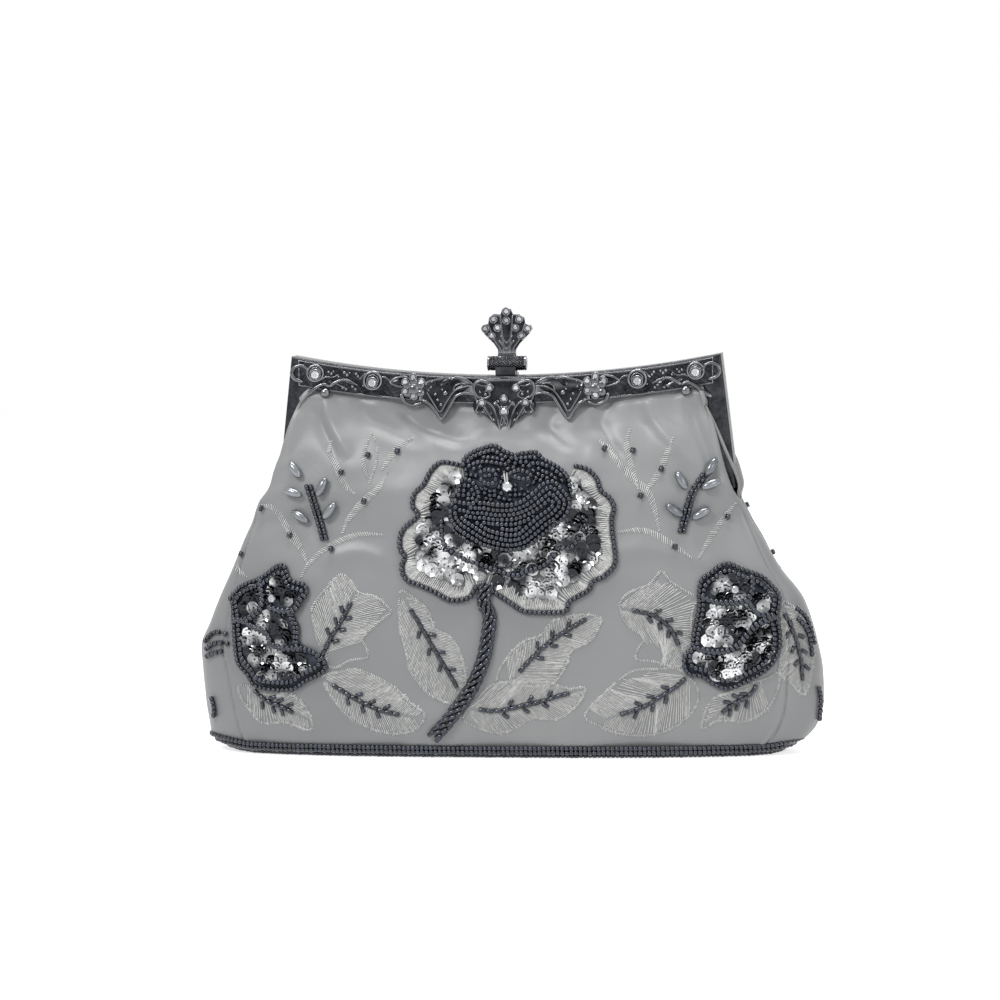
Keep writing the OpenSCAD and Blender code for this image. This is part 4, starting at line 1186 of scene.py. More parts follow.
# Large rose: outlines in its crop
rose_left = [(470, 235), (340, 215), (270, 270), (220, 360), (160, 420), (150, 500), (185, 560), (100, 640),
             (70, 700),
             (70, 780), (100, 830), (80, 900), (110, 980), (200, 1020), (290, 1060), (380, 1110),
             (450, 1115),
             (520, 1095), (560, 1030)]
rose_right = [(620, 1020), (700, 1075), (800, 1140), (870, 1185), (960, 1195), (1140, 1190), (1170, 1130),
              (1230, 1090), (1300, 1050), (1330, 990), (1400, 960), (1470, 880), (1470, 780), (1455, 680),
              (1450, 580),
              (1465, 510), (1430, 440), (1380, 400), (1350, 320), (1290, 260), (1215, 240)]
heart_outline = [(480, 200), (620, 120), (700, 110), (800, 160), (850, 160), (960, 150), (1020, 200),
                 (1130, 260),
                 (1180, 350), (1200, 430), (1180, 550), (1100, 600), (1040, 660), (900, 780), (800, 800),
                 (600, 770),
                 (430, 690), (390, 600), (380, 500), (430, 420), (450, 340), (490, 300)]
heart_petals = [
    [(590, 290), (650, 270), (700, 280), (720, 330), (690, 380), (630, 380), (590, 350)],
    [(780, 300), (850, 270), (930, 290), (950, 340), (900, 360), (840, 350), (800, 330)],
    [(470, 240), (480, 190), (530, 150), (620, 115), (700, 105), (760, 140), (815, 165), (810, 215),
     (760, 260),
     (700, 250), (600, 245), (540, 262), (490, 275)],
    [(830, 160), (900, 150), (960, 145), (1010, 190), (1060, 215), (1120, 250), (1160, 290), (1190, 350),
     (1180, 400),
     (1120, 330), (1040, 270), (950, 250), (900, 300), (850, 310), (800, 280), (815, 220)],
    [(440, 430), (450, 360), (490, 320), (550, 340), (590, 390), (600, 450), (560, 500), (480, 500),
     (440, 480)],
    [(400, 480), (460, 450), (560, 470), (620, 470), (700, 480), (800, 480), (880, 450), (950, 400),
     (1000, 360),
     (1080, 340), (1150, 400), (1190, 460), (1180, 540), (1130, 600), (1050, 660), (980, 720), (900, 780),
     (800, 800),
     (700, 790), (600, 760), (500, 700), (430, 650), (390, 590), (385, 530)],
]
petal_heights = [4.2 * mm, 4.2 * mm, 2.6 * mm, 2.6 * mm, 3.0 * mm, 3.4 * mm]
heart_stone = (775, 385)
heart_tie = (755, 300)
lower_row = [(340, 600), (360, 750), (500, 850), (600, 880), (800, 950), (880, 930), (1000, 890),
             (1080, 820)]
right_curl = [(1100, 775), (1180, 770), (1240, 700), (1270, 640), (1280, 580), (1230, 570)]
lone_sequin = (705, 995)


bead_gap_px = 0.9 * bead_pitch * px_per_metre
row_gap_px = 0.95 * row_pitch * px_per_metre
bead_rise = 0.8 * bead_r
heart_swell = 2.7 * mm
dome_reach = 7 * mm
rose_centre = (760, 500)
stitch_gap = 0.8 * mm_px
sequin_gap = 3.6 * mm_px
# Rows of sequins: distance in from the rim and lift, in millimetres
sequin_rows = [(9.6, 0.7), (13.2, 1.2), (16.8, 1.5), (20.4, 1.5), (24.0, 1.4), (27.6, 1.3)]


def add_sequins(batch, px, lifts, lean):
    """Sequins at photo pixels, each leaning a little so that they overlap like scales."""
    place, normal, way = way_on_cloth(px, np.tile([0.0, -1.0], (len(px), 1)))
    n = len(px)
    spin = rng.uniform(-0.5, 0.5, n)[:, None]
    way = way * np.cos(spin) + np.cross(normal, way) * np.sin(spin)
    size = rng.uniform(0.94, 1.04, n)[:, None] * np.ones(3)
    batch.add(place, normal, way, lifts, size, lean + rng.uniform(-0.22, 0.22, n))


def dome_at(px, heart):
    """Share of the heart's swell at photo pixels, growing from its edge."""
    return np.sqrt(np.clip(distance_to(heart, px) / px_per_metre / dome_reach, 0.02, 1))


def fill_heart(batch, heart):
    """Rows of beads over each petal of the heart, then beads in what the petals leave free."""
    taken = Spots(bead_gap_px)
    for petal, high in zip(heart_petals, petal_heights):
        outline = photo_line(crop_rose, petal, closed=True, steps=24)
        px, ways, deep = contour_fill(outline, row_gap_px, bead_gap_px, taken)
        place, normal, way = way_on_cloth(px, ways)
        lift = high * dome_at(px, heart) + np.exp(-deep / (1.6 * row_gap_px)) * 1.3 * mm + bead_rise
        batch.add(place, normal, way, lift + rng.uniform(-0.15, 0.15, len(px)) * mm, shake(len(px), 0.07))
    px, ways, _ = contour_fill(heart, row_gap_px, bead_gap_px, taken)
    batch.add(*way_on_cloth(px, ways), heart_swell * dome_at(px, heart) + bead_rise, shake(len(px), 0.07))
    low, high = heart.min(axis=0), heart.max(axis=0)
    step = 0.45 * row_pitch * px_per_metre
    across, down = np.meshgrid(np.arange(low[0], high[0], step), np.arange(low[1], high[1], step))
    rest = np.stack([across.ravel(), down.ravel()], axis=1)
    loose = np.array([p for p in rest[inside(heart, rest)] if taken.claim(p, bead_gap_px)])
    batch.add(*way_on_cloth(loose, np.tile([1.0, 0.2], (len(loose), 1))), heart_swell + bead_rise,
              shake(len(loose), 0.07))


def make_rose():
    heart = photo_line(crop_rose, heart_outline, closed=True)
    bead_batch = Batch(seed)
    for line, lift in ((rose_left, 0.2), (rose_right, 0.2), (lower_row, 1.2), (right_curl, 0.8)):
        bead_line(bead_batch, crop_rose, line, lift=lift * mm)
    fill_heart(bead_batch, heart)
    make_beadwork("rose_beads", [bead_batch], beads, ["rose"])

    threads, sequin_batch, gems = Batch(stitch), Batch(sequin), Batch(rhinestone)
    outline = np.vstack([photo_line(crop_rose, half, steps=16) for half in (rose_left, rose_right)])
    run = run_along(outline)
    rim = placed_at(np.arange(0, run[-1], stitch_gap), run, outline)
    to_centre = crop_px(crop_rose, rose_centre) - rim
    far = np.linalg.norm(to_centre, axis=1, keepdims=True)
    to_centre /= far
    tangent = unit(np.gradient(rim, axis=0))
    inward = quarter_turn(tangent)
    inward *= np.sign(np.sum(inward * to_centre, axis=1, keepdims=True))
    way = unit(0.55 * inward + 0.45 * to_centre)
    long = rng.uniform(4.4, 9.2, len(rim))[:, None] * mm_px
    start = rim + way * 0.9 * mm_px
    end = rim + way * np.minimum(long, far * 0.9)
    free = ~inside(heart, end)
    stitches(threads, start[free], end[free], lift=0.15 * mm, thick=1.15)
    short = rng.uniform(2.2, 4.2, len(rim))[:, None] * mm_px
    stitches(threads, start + tangent * 0.5, rim + way * short + tangent * 0.5, lift=0.3 * mm, thick=1.1)
    stone_at, tie = crop_px(crop_rose, heart_stone), crop_px(crop_rose, heart_tie)
    stitches(threads, stone_at + np.array([(-1.2, -2), (0.6, -2)]), tie + np.array([(0, 0), (3, -0.5)]),
             lift=5.6 * mm, thick=1.6)
    make_beadwork("rose_threads", [threads], thread)

    spots, lifts = [], []
    taken = Spots(4 * mm_px)
    for deep, lift in sequin_rows:
        row = rim + to_centre * deep * mm_px
        for p, gap in zip(row, distance_to(outline, row, closed=False)):
            if gap < min(deep - 4.4, 8.6) * mm_px or inside(heart, p[None])[0]:
                continue
            if distance_to(heart, p[None])[0] >= 0.3 * mm_px and taken.claim(p, sequin_gap):
                spots.append(p)
                lifts.append(lift * mm)
    spots.append(crop_px(crop_rose, lone_sequin))
    lifts.append(1.0 * mm)
    add_sequins(sequin_batch, np.array(spots), np.array(lifts), 0.28)
    make_beadwork("rose_sequins", [sequin_batch], spangles, smooth=False)
    set_one(gems, crop_rose, heart_stone, (0, -1), 5.2 * mm)
    return gems


# Felt pad under raised beads: share of the outline and share of the height
pad_rings = [(1.0, -0.1), (0.98, 0.25), (0.9, 0.55), (0.75, 0.8), (0.5, 0.92), (0.2, 1.0)]
pad_inset = 0.97


def heart_ground(name, outline_points, crop, high):
    outline = photo_line(crop, outline_points, closed=True, steps=6)
    centre = outline.mean(axis=0)
    for back in (False, True):
        rings = []
        for share, lift in pad_rings:
            place, normal = seat(centre + (outline - centre) * share * pad_inset)
            if back:
                place, normal, _ = to_back(place, np.zeros_like(place), False)
            rings.append(place + normal * high * lift)
        obj = new_object(side_name(back) + name, np.concatenate(rings), loft_faces(len(rings), len(outline)))
        fix_normals(obj)
        finish_side(obj, back, pad_stuff)


# Side roses: outline, dividing rows and the stone, in their crops
left_flower = [(290, 400), (330, 340), (400, 300), (480, 270), (540, 230), (600, 185), (650, 180),
               (680, 260), (720, 290),
               (790, 310), (800, 370), (760, 420), (700, 490), (740, 600), (740, 730), (830, 760),
               (900, 800),
               (930, 870), (870, 920), (790, 960), (720, 1010), (640, 1020), (520, 1010), (440, 980),
               (400, 910),
               (340, 840), (320, 740), (310, 560), (300, 450)]
left_dividers = [[(490, 270), (500, 440), (430, 520), (370, 545)],
                 [(560, 460), (640, 480), (720, 470), (760, 400)],
                 [(320, 545), (370, 550), (450, 590), (540, 640), (560, 700), (640, 730), (740, 730)]]
left_stone = (575, 400)
right_flower = [(540, 350), (560, 270), (620, 230), (680, 180), (740, 165), (820, 200), (900, 230),
                (970, 260),
                (1030, 320), (1080, 390), (1060, 530), (1080, 620), (1080, 740), (1040, 830), (980, 890),
                (900, 940),
                (740, 1010), (640, 980), (560, 930), (470, 910), (440, 850), (450, 780), (490, 740),
                (500, 650),
                (520, 560), (540, 450)]
right_dividers = [[(560, 390), (640, 420), (740, 425), (850, 410), (890, 340), (890, 260)],
                  [(870, 420), (930, 500), (1010, 510), (1060, 530)],
                  [(1000, 520), (900, 590), (820, 680), (750, 740), (640, 760), (530, 740)]]
right_stone = (780, 345)
left_edge_beads = [[(120, 690), (150, 650), (190, 628), (250, 640)],
                   [(125, 740), (160, 712), (205, 700), (255, 705)],
                   [(130, 790), (165, 770), (215, 760)], [(160, 1080), (175, 1140), (175, 1190)]]
right_edge_beads = [[(1200, 470), (1250, 520), (1285, 600), (1310, 700)],
                    [(1210, 540), (1255, 600), (1285, 680), (1300, 780)],
                    [(1345, 1010), (1355, 1080), (1350, 1150), (1345, 1210)]]


def make_side_roses():
    bead_batch, sequin_batch, gems = Batch(seed), Batch(sequin), Batch(small_rhinestone)
    for crop, outline, dividers, stone_px, edges in (
            (crop_left, left_flower, left_dividers, left_stone, left_edge_beads),
            (crop_right, right_flower, right_dividers, right_stone, right_edge_beads)):
        bead_line(bead_batch, crop, outline, closed=True, lift=0.5 * mm)
        ring_px = photo_line(crop, outline, closed=True)
        centre = ring_px.mean(axis=0)
        bead_line(bead_batch, crop_photo, (centre + (ring_px - centre) * 0.88)[::6], closed=True,
                  lift=0.9 * mm)
        for line in dividers:
            bead_line(bead_batch, crop, line, lift=1.6 * mm)
            bead_line(bead_batch, crop, [(x + 9, y + 11) for x, y in line], lift=1.4 * mm)
        for line in edges:
            bead_line(bead_batch, crop, line, lift=0.2 * mm)
        lines = [photo_line(crop, line) for line in dividers]
        low, high = ring_px.min(axis=0), ring_px.max(axis=0)
        spots = []
        for row, y in enumerate(np.arange(low[1], high[1], 3.6 * mm_px)):
            for x in np.arange(low[0] + (row % 2) * 1.9 * mm_px, high[0], 3.9 * mm_px):
                p = np.array([[x, y]]) + rng.uniform(-0.6, 0.6, 2)
                near = min(distance_to(line, p, closed=False)[0] for line in lines)
                if inside(ring_px, p)[0] and distance_to(ring_px, p)[0] > 3.6 * mm_px and near > 1.6 * mm_px:
                    spots.append(p[0])
        add_sequins(sequin_batch, np.array(spots), 1.3 * mm, 0.3)
        set_one(gems, crop, stone_px, (0, -1), 2.4 * mm)
    make_beadwork("side_rose_beads", [bead_batch], beads, ["side_roses"])
    make_beadwork("side_rose_sequins", [sequin_batch], spangles, smooth=False)
    return gems


# Stem and leaves
stem_line = [(487, 585), (484, 602), (490, 616), (488, 637), (484, 658), (476, 679), (466, 697), (452, 716),
             (435, 735)]
leaf_table = [
    (crop_stem, [(0, 230), (100, 270), (200, 360), (250, 490), (350, 540), (420, 640), (460, 780),
                 (470, 880), (440, 960),
                 (380, 1020), (260, 990), (150, 900), (70, 780), (50, 690), (20, 560), (0, 500)],
     [(75, 350), (160, 490), (260, 660), (340, 790), (410, 910)]),
    (crop_stem, [(690, 850), (760, 700), (880, 580), (1000, 540), (1080, 440), (1200, 400), (1320, 390),
                 (1430, 410),
                 (1420, 480), (1350, 580), (1220, 650), (1190, 740), (1100, 870), (950, 900), (800, 880)],
     [(850, 800), (940, 700), (1100, 560), (1330, 420)]),
    (crop_stem, [(450, 1120), (560, 980), (640, 900), (750, 870), (900, 860), (1080, 880), (1200, 920),
                 (1320, 910),
                 (1290, 1000), (1200, 1090), (1090, 1140), (940, 1130), (800, 1210), (660, 1230),
                 (520, 1180)],
     [(560, 1065), (700, 1075), (860, 1040), (1000, 1010), (1210, 945)]),
    (crop_left, [(830, 480), (870, 400), (960, 300), (1030, 235), (1100, 280), (1150, 360), (1250, 380),
                 (1330, 440),
                 (1370, 490), (1310, 540), (1180, 660), (1200, 730), (1210, 800), (1090, 820), (1010, 865),
                 (950, 860),
                 (920, 780), (870, 690), (850, 600)],
     [(900, 790), (960, 670), (1040, 540), (1100, 420)]),
    (crop_left, [(900, 940), (1010, 900), (1130, 880), (1260, 930), (1400, 1010), (1500, 1110),
                 (1600, 1190), (1540, 1290),
                 (1400, 1320), (1250, 1290), (1120, 1230), (1010, 1130)],
     [(970, 985), (1090, 1060), (1180, 1110), (1300, 1160), (1430, 1190)]),
    (crop_left, [(330, 1000), (430, 1190), (520, 1250), (640, 1240), (820, 1295), (820, 1200), (760, 1100),
                 (640, 1030),
                 (520, 1010)],
     [(440, 1020), (520, 1090), (620, 1130), (710, 1175)]),
    (crop_right, [(0, 430), (60, 360), (200, 300), (280, 215), (340, 280), (430, 340), (520, 400),
                  (490, 500), (480, 740),
                  (430, 850), (340, 860), (240, 830), (110, 810), (130, 730), (160, 670), (50, 580),
                  (10, 500)],
     [(80, 480), (220, 510), (340, 600), (400, 720)]),
    (crop_right, [(0, 950), (100, 890), (250, 880), (400, 880), (520, 990), (530, 1100), (480, 1190),
                  (380, 1270),
                  (210, 1330), (0, 1320), (-130, 1270), (-240, 1200), (-120, 1060)],
     [(450, 940), (370, 1010), (270, 1070), (180, 1130), (0, 1190)]),
    (crop_right, [(560, 1290), (570, 1200), (620, 1100), (700, 1050), (1000, 940), (1080, 900),
                  (1080, 1000), (1020, 1130),
                  (920, 1210), (830, 1240), (720, 1230), (640, 1240)],
     [(930, 985), (880, 1060), (780, 1110), (690, 1180)]),
    (crop_right, [(1100, 440), (1160, 440), (1260, 540), (1300, 660), (1310, 850), (1260, 1050),
                  (1170, 980), (1090, 900),
                  (1100, 700)],
     [(1120, 500), (1190, 660), (1230, 820), (1240, 960)]),
]


leaf_row_gap = 0.85 * mm_px
# Beads beside a vein: share of the vein's length and side
vein_sides = [(0.22, 1), (0.3, -1), (0.44, 1), (0.52, -1), (0.66, 1), (0.74, -1)]
stem_strands = 5
stem_r = 2.1 * mm


def leaf_threads(batch, outline, vein):
    """Slanted stitches on both sides of the vein, out to the leaf's edge, and a row round the edge."""
    ends = unit(np.array([vein[0] - vein[1], vein[-1] - vein[-2]])) * 6 * mm_px
    longer = np.vstack([vein[0] + ends[0], vein, vein[-1] + ends[1]])
    run = run_along(longer)
    starts, stops = [], []
    for at in np.arange(0, run[-1], leaf_row_gap):
        p = placed_at(at, run, longer)
        way = unit(placed_at(at + 1, run, longer) - p)
        for side in (-1, 1):
            across = quarter_turn(way) * side
            lean = 0.75 * across + 0.66 * way
            at_far = rng.uniform(0.3, 1.4) * mm_px
            while at_far < 16 * mm_px:
                long = rng.uniform(1.7, 3.4) * mm_px
                sway = across * rng.uniform(-0.3, 0.3)
                a = p + lean * at_far
                b = a + (lean + 0.15 * sway) * long
                at_far += long * 0.82
                if not inside(outline, a[None])[0]:
                    break
                starts.append(a)
                stops.append(b if inside(outline, b[None])[0] else (a + b) / 2)
    stitches(batch, np.array(starts), np.array(stops), thick=0.8)
    run = run_along(outline)
    rim = placed_at(np.arange(0, run[-1], stitch_gap), run, outline)
    way = unit(np.gradient(rim, axis=0))
    wide = rng.uniform(0.7, 1.2, (len(rim), 1)) * mm_px
    slant = quarter_turn(way) * wide * 0.6 + way * 0.6
    stitches(batch, rim - slant, rim + slant, lift=0.1 * mm, thick=0.9)


def leaf_veins(batch, vein):
    bugle_line(batch, crop_photo, vein[::4], 3.2 * mm)
    run = run_along(vein)
    for share, side in vein_sides:
        p, q = placed_at(np.array([share, min(1, share + 0.05)]) * run[-1], run, vein)
        way = unit(q - p)
        lean = 0.72 * way + 0.7 * quarter_turn(way) * side
        a, b = p + lean * 1.5 * mm_px, p + lean * (5.6 if share < 0.5 else 4.6) * mm_px
        bugle_line(batch, crop_photo, [a, (a + b) / 2, b], 3.4 * mm, wide=0.9)


def make_leaves_and_stem():
    threads, veins, stem_batch = Batch(stitch), Batch(bugle), Batch(bugle)
    for crop, outline, vein in leaf_table:
        vein_px = photo_line(crop, vein, steps=8)
        leaf_threads(threads, photo_line(crop, outline, closed=True, steps=5), vein_px)
        leaf_veins(veins, vein_px)
    make_beadwork("leaf_threads", [threads], thread, ["leaves"])
    make_beadwork("leaf_bugles", [veins], beads)
    place, normal, way = spaced(photo_line(crop_photo, stem_line), 1.25 * mm)
    side = np.cross(normal, way)
    for k in range(stem_strands):
        for i in range(len(place)):
            phase = 2 * math.pi * k / stem_strands + i * 0.42
            up = math.sin(phase)
            if up >= -0.5 and (i + k) % 2 == 0:
                stem_batch.add(place[i] + side[i] * math.cos(phase) * stem_r, normal[i],
                               way[i] - side[i] * up * 0.55, (1.5 + 0.9 * up) * mm, (3.1 * mm, 1.0, 1.0))
    make_beadwork("stem_bugles", [stem_batch], beads, ["stem"])


# Sprays of satin stitch: a line, the width in millimetres, and the square bead on it
spray_table = [
    (crop_high_left, [(760, 1340), (790, 1280), (860, 1200), (960, 1130), (1060, 1080), (1180, 1050),
                      (1310, 1055)], 3.0, (965, 1155)),
    (crop_high_left, [(1040, 1040), (1080, 950), (1180, 830), (1290, 730), (1350, 620)], 3.6, (1190, 825)),
    (crop_high_left, [(1310, 610), (1380, 510), (1430, 450), (1530, 390)], 3.2, (1415, 490)),
    (crop_high_left, [(1225, 700), (1180, 560), (1200, 450), (1240, 360)], 2.4, (1215, 515)),
    (crop_high_left, [(1225, 700), (1270, 560), (1275, 450), (1240, 360)], 1.6, None),
    (crop_high_left, [(960, 420), (950, 500), (1000, 600), (1060, 720), (1130, 780)], 3.6, (1035, 630)),
    (crop_high_left, [(450, 860), (560, 870), (660, 1000), (740, 1110), (800, 1260)], 3.4, (495, 870)),
    (crop_high_left, [(360, 1090), (330, 1180), (320, 1280), (400, 1350)], 3.0, (360, 1190)),
    (crop_high_left, [(660, 1000), (690, 1080), (740, 1150)], 2.4, (685, 1060)),
    (crop_high_right, [(0, 670), (100, 790), (200, 900), (300, 1000), (360, 1210)], 4.0, (245, 1000)),
    (crop_high_right, [(0, 670), (60, 720), (120, 810)], 3.0, (25, 720)),
    (crop_high_right, [(180, 600), (160, 700), (200, 860), (230, 960)], 3.2, (200, 730)),
    (crop_high_right, [(440, 650), (360, 850), (270, 980)], 3.4, (370, 840)),
    (crop_high_right, [(110, 1220), (260, 1210), (400, 1270), (560, 1380)], 3.2, (450, 1310)),
    (crop_high_right, [(600, 1370), (700, 1200), (820, 1040)], 3.2, (765, 1125)),
]
sprig_stems = [(crop_photo, [(308.5, 484.6), (315, 505), (321, 525), (325, 541)]),
               (crop_high_right, [(490, 1230), (520, 1110), (560, 980), (640, 860)])]
# Pearls of the sprigs: place and angle
pearl_table = {
    crop_photo: [((296.4, 470.2), -55), ((294.2, 493), -20), ((302.2, 516.4), -35), ((323.5, 487.8), 65),
                 ((330.8, 510.6), 55)],
    crop_high_right: [((665, 830), 60), ((665, 935), 25), ((490, 910), -60), ((445, 1085), -35),
                      ((605, 1105), 30)],
}
spray_gap = 0.95 * mm_px


def make_sprays():
    threads, squares = Batch(stitch), Batch(square_bead)
    for crop, points, wide, bead_at in spray_table:
        line = photo_line(crop, points, steps=20)
        run = run_along(line)
        at = np.arange(0, run[-1], spray_gap)
        p = placed_at(at, run, line)
        way = unit(np.gradient(p, axis=0))
        half = wide / 2 * mm_px * np.sin(np.pi * np.clip(at / run[-1], 0.06, 0.96)) ** 0.55
        lean = (quarter_turn(way) * 0.86 + way * 0.5) * half[:, None]
        stitches(threads, p - lean, p + lean, thick=0.95)
        if bead_at:
            set_one(squares, crop, bead_at, (0.3, -1), 1.3 * mm)
    make_beadwork("spray_threads", [threads], thread)
    make_beadwork("spray_beads", [squares], beads)


def make_sprigs():
    stems, pearl_batch = Batch(bugle), Batch(rice_pearl)
    for crop, points in sprig_stems:
        for shift in (-0.9, 0.9):
            moved = [(x + shift * crop[2] * mm_px, y) for x, y in points]
            bugle_line(stems, crop, moved, 2.6 * mm, lift=0.1 * mm)
    for crop, pearls in pearl_table.items():
        for at, angle in pearls:
            a = math.radians(angle)
            set_one(pearl_batch, crop, at, (math.cos(a), -math.sin(a)), 2.35 * mm, step=8)
    make_beadwork("sprig_stems", [stems], beads, sprig=True)
    make_beadwork("pearl_drops", [pearl_batch], pearl_stuff, ["pearls"], sprig=True)


# Cast relief of the rail's left half, in a crop of the photograph: lines, their radii and how far out
crop_rail = (270, 290, 6.272)
scroll_lines = [
    ([(205, 575), (160, 560), (137, 525), (150, 490), (190, 474), (228, 492), (240, 530)], 0.95, 0.6, 9.5),
    ([(188, 684), (240, 652), (290, 612), (335, 592), (372, 606)], 1.0, 0.65, 9.7),
    ([(372, 606), (410, 580), (450, 565), (500, 570), (548, 597)], 0.9, 0.35, 9.8),
    ([(410, 582), (440, 598), (470, 612)], 0.5, 0.3, 9.3),
    ([(320, 560), (355, 545), (395, 548), (430, 530)], 0.45, 0.3, 9.1),
    ([(560, 560), (585, 535), (600, 520)], 0.45, 0.3, 9.1),
    ([(700, 545), (730, 552), (760, 575)], 0.5, 0.35, 9.1),
    ([(750, 578), (790, 552), (845, 545), (880, 562)], 0.6, 0.5, 9.6),
    ([(750, 578), (785, 598), (830, 608), (850, 600)], 0.6, 0.4, 9.5),
    ([(820, 650), (845, 700), (895, 722), (950, 705)], 0.9, 0.7, 9.7),
    ([(955, 690), (1000, 715), (1040, 765), (1070, 808), (1100, 775), (1135, 715), (1165, 668), (1215, 648),
      (1275, 655)],
     0.85, 0.75, 10.9),
    ([(985, 640), (1020, 700), (1066, 762), (1105, 705), (1150, 640), (1200, 612), (1265, 602)], 0.45, 0.45,
     11.1),
    ([(1130, 560), (1165, 550), (1215, 556), (1260, 582), (1275, 612)], 0.65, 0.45, 10.4),
    ([(1150, 640), (1158, 605), (1190, 588), (1230, 590)], 0.5, 0.35, 10.8),
    ([(1405, 612), (1370, 585), (1320, 570), (1285, 590), (1280, 632), (1305, 668), (1345, 680),
      (1378, 662), (1368, 636),
      (1345, 640)], 0.8, 0.4, 11.1),
    ([(1290, 585), (1330, 600), (1370, 600)], 0.4, 0.4, 10.9),
    ([(1292, 695), (1330, 718), (1362, 760), (1392, 812)], 0.65, 0.4, 11.2),
    ([(1335, 690), (1385, 720), (1420, 782), (1440, 866)], 0.7, 0.4, 11.3),
    ([(1300, 700), (1300, 735), (1287, 764)], 0.6, 0.4, 11.0),
    ([(1410, 700), (1440, 740), (1452, 790), (1440, 866)], 0.45, 0.35, 11.4),
    ([(1478, 735), (1478, 790), (1452, 850)], 0.5, 0.3, 11.4),
    ([(1340, 745), (1350, 770), (1370, 790)], 0.4, 0.3, 11.0),
]
relief_balls = [
    (345, 645, 2.1, 9.6), (368, 515, 0.6, 9.0), (385, 527, 0.65, 9.0), (398, 512, 0.5, 9.0),
    (466, 519, 0.75, 9.1),
    (484, 535, 0.75, 9.1), (500, 520, 0.5, 9.0), (540, 527, 0.7, 9.1), (552, 543, 0.6, 9.1),
    (455, 612, 0.75, 9.1),
    (478, 622, 0.65, 9.1), (518, 606, 0.7, 9.1), (536, 622, 0.7, 9.1), (430, 545, 0.55, 9.0),
    (585, 600, 0.5, 9.0),
    (1037, 655, 0.65, 10.8), (1052, 690, 0.65, 10.8), (1072, 720, 0.75, 10.8), (1100, 648, 1.1, 10.8),
    (1080, 625, 0.5, 10.8), (1352, 655, 0.7, 11.2), (1318, 640, 0.6, 11.0), (1405, 815, 0.75, 10.9),
    (1300, 768, 0.7, 10.9),
    (1335, 765, 0.6, 10.9), (1384, 775, 0.6, 11.0), (1430, 700, 0.6, 11.3), (880, 600, 0.6, 10.2),
    (930, 600, 0.6, 10.2),
    (1010, 610, 0.6, 10.6), (980, 590, 0.55, 10.5), (1015, 575, 0.45, 10.4),
]
relief_leaves = [
    ((850, 575), (752, 578), 3.6, 9.3), ((1068, 600), (1128, 552), 3.4, 10.5),
    ((1000, 640), (975, 590), 3.0, 10.3),
    ((1150, 632), (1268, 590), 3.4, 10.5), ((1310, 690), (1284, 768), 3.6, 10.7),
    ((1345, 700), (1396, 822), 4.4, 10.9),
    ((1410, 700), (1440, 876), 4.8, 11.0), ((1486, 720), (1470, 850), 3.6, 11.0),
    ((250, 640), (188, 684), 2.6, 9.3),
    ((470, 570), (548, 598), 2.2, 9.4), ((405, 590), (360, 572), 2.2, 9.4),
]
seat_rings = [(283, 522, 3.3, 0.62, 9.3), (283, 522, 2.3, 0.35, 9.6), (643, 568, 3.6, 0.66, 9.3),
              (643, 568, 2.4, 0.35, 9.6)]
drop_plate = [(935, 590), (930, 690), (960, 700), (1000, 722), (1040, 772), (1070, 812), (1102, 778),
              (1165, 674),
              (1225, 656), (1285, 660), (1285, 590), (1200, 548), (1100, 542), (1000, 560)]
medallion_plate = [(1486, 552), (1300, 562), (1268, 600), (1275, 660), (1292, 712), (1280, 768),
                   (1335, 775), (1362, 775),
                   (1388, 822), (1420, 822), (1440, 876), (1462, 820), (1486, 800)]
flower_middle = (903, 622)
face_out = 8.7
plate_back = -8.2 * mm
mirror = np.array([-1, 1, 1])


def on_plane(px, out):
    """Points under photo pixels, so many millimetres in front of the middle of the frame."""
    ways = [sight(x, y) for x, y in px]
    return np.array([eye + way * ((-out * mm - eye[1]) / way[1]) for way in ways])


def rail_points(points, out, steps=0):
    px = np.array([crop_px(crop_rail, p) for p in points])
    return on_plane(spline(px, steps) if steps else px, out)


def tube(points, radii, flat=0.8, sides=9):
    """Round ridge along points, closing at both ends, raised towards the front."""
    out = np.array([0.0, -1, 0])
    side = unit(np.cross(unit(np.gradient(points, axis=0)), out))
    s = np.linspace(0, 1, len(points))
    r = radii * np.maximum(0.08, (1 - (2 * s - 1) ** 8)) ** 0.5
    a = circle(sides)[None, :, None]
    verts = points[:, None] + r[:, None, None] * (np.cos(a) * side[:, None] + flat * np.sin(a) * out)
    return verts.reshape(-1, 3), loft_faces(len(points), sides)


def ring(centre, radius, thick, sides=8, count=28):
    """Torus round a place, facing front."""
    turn, a = circle(count)[:, None, None], circle(sides)[None, :, None]
    around = np.cos(turn) * np.array([1, 0, 0]) + np.sin(turn) * np.array([0, 0, 1])
    verts = centre + (radius + thick * np.cos(a)) * around - thick * np.sin(a) * np.array([0, 1, 0])
    here = np.arange(count * sides).reshape(count, sides)
    ahead = np.roll(here, -1, axis=0)
    faces = np.stack([here, np.roll(here, -1, axis=1), np.roll(ahead, -1, axis=1), ahead], axis=-1)
    return verts.reshape(-1, 3), faces.reshape(-1, 4)


def ball(centre, radius, flat=0.75):
    v, f = ellipsoid_shape(2 * radius, 2 * radius, 8, 12)
    return v * np.array([1, flat, 1]) + centre, f


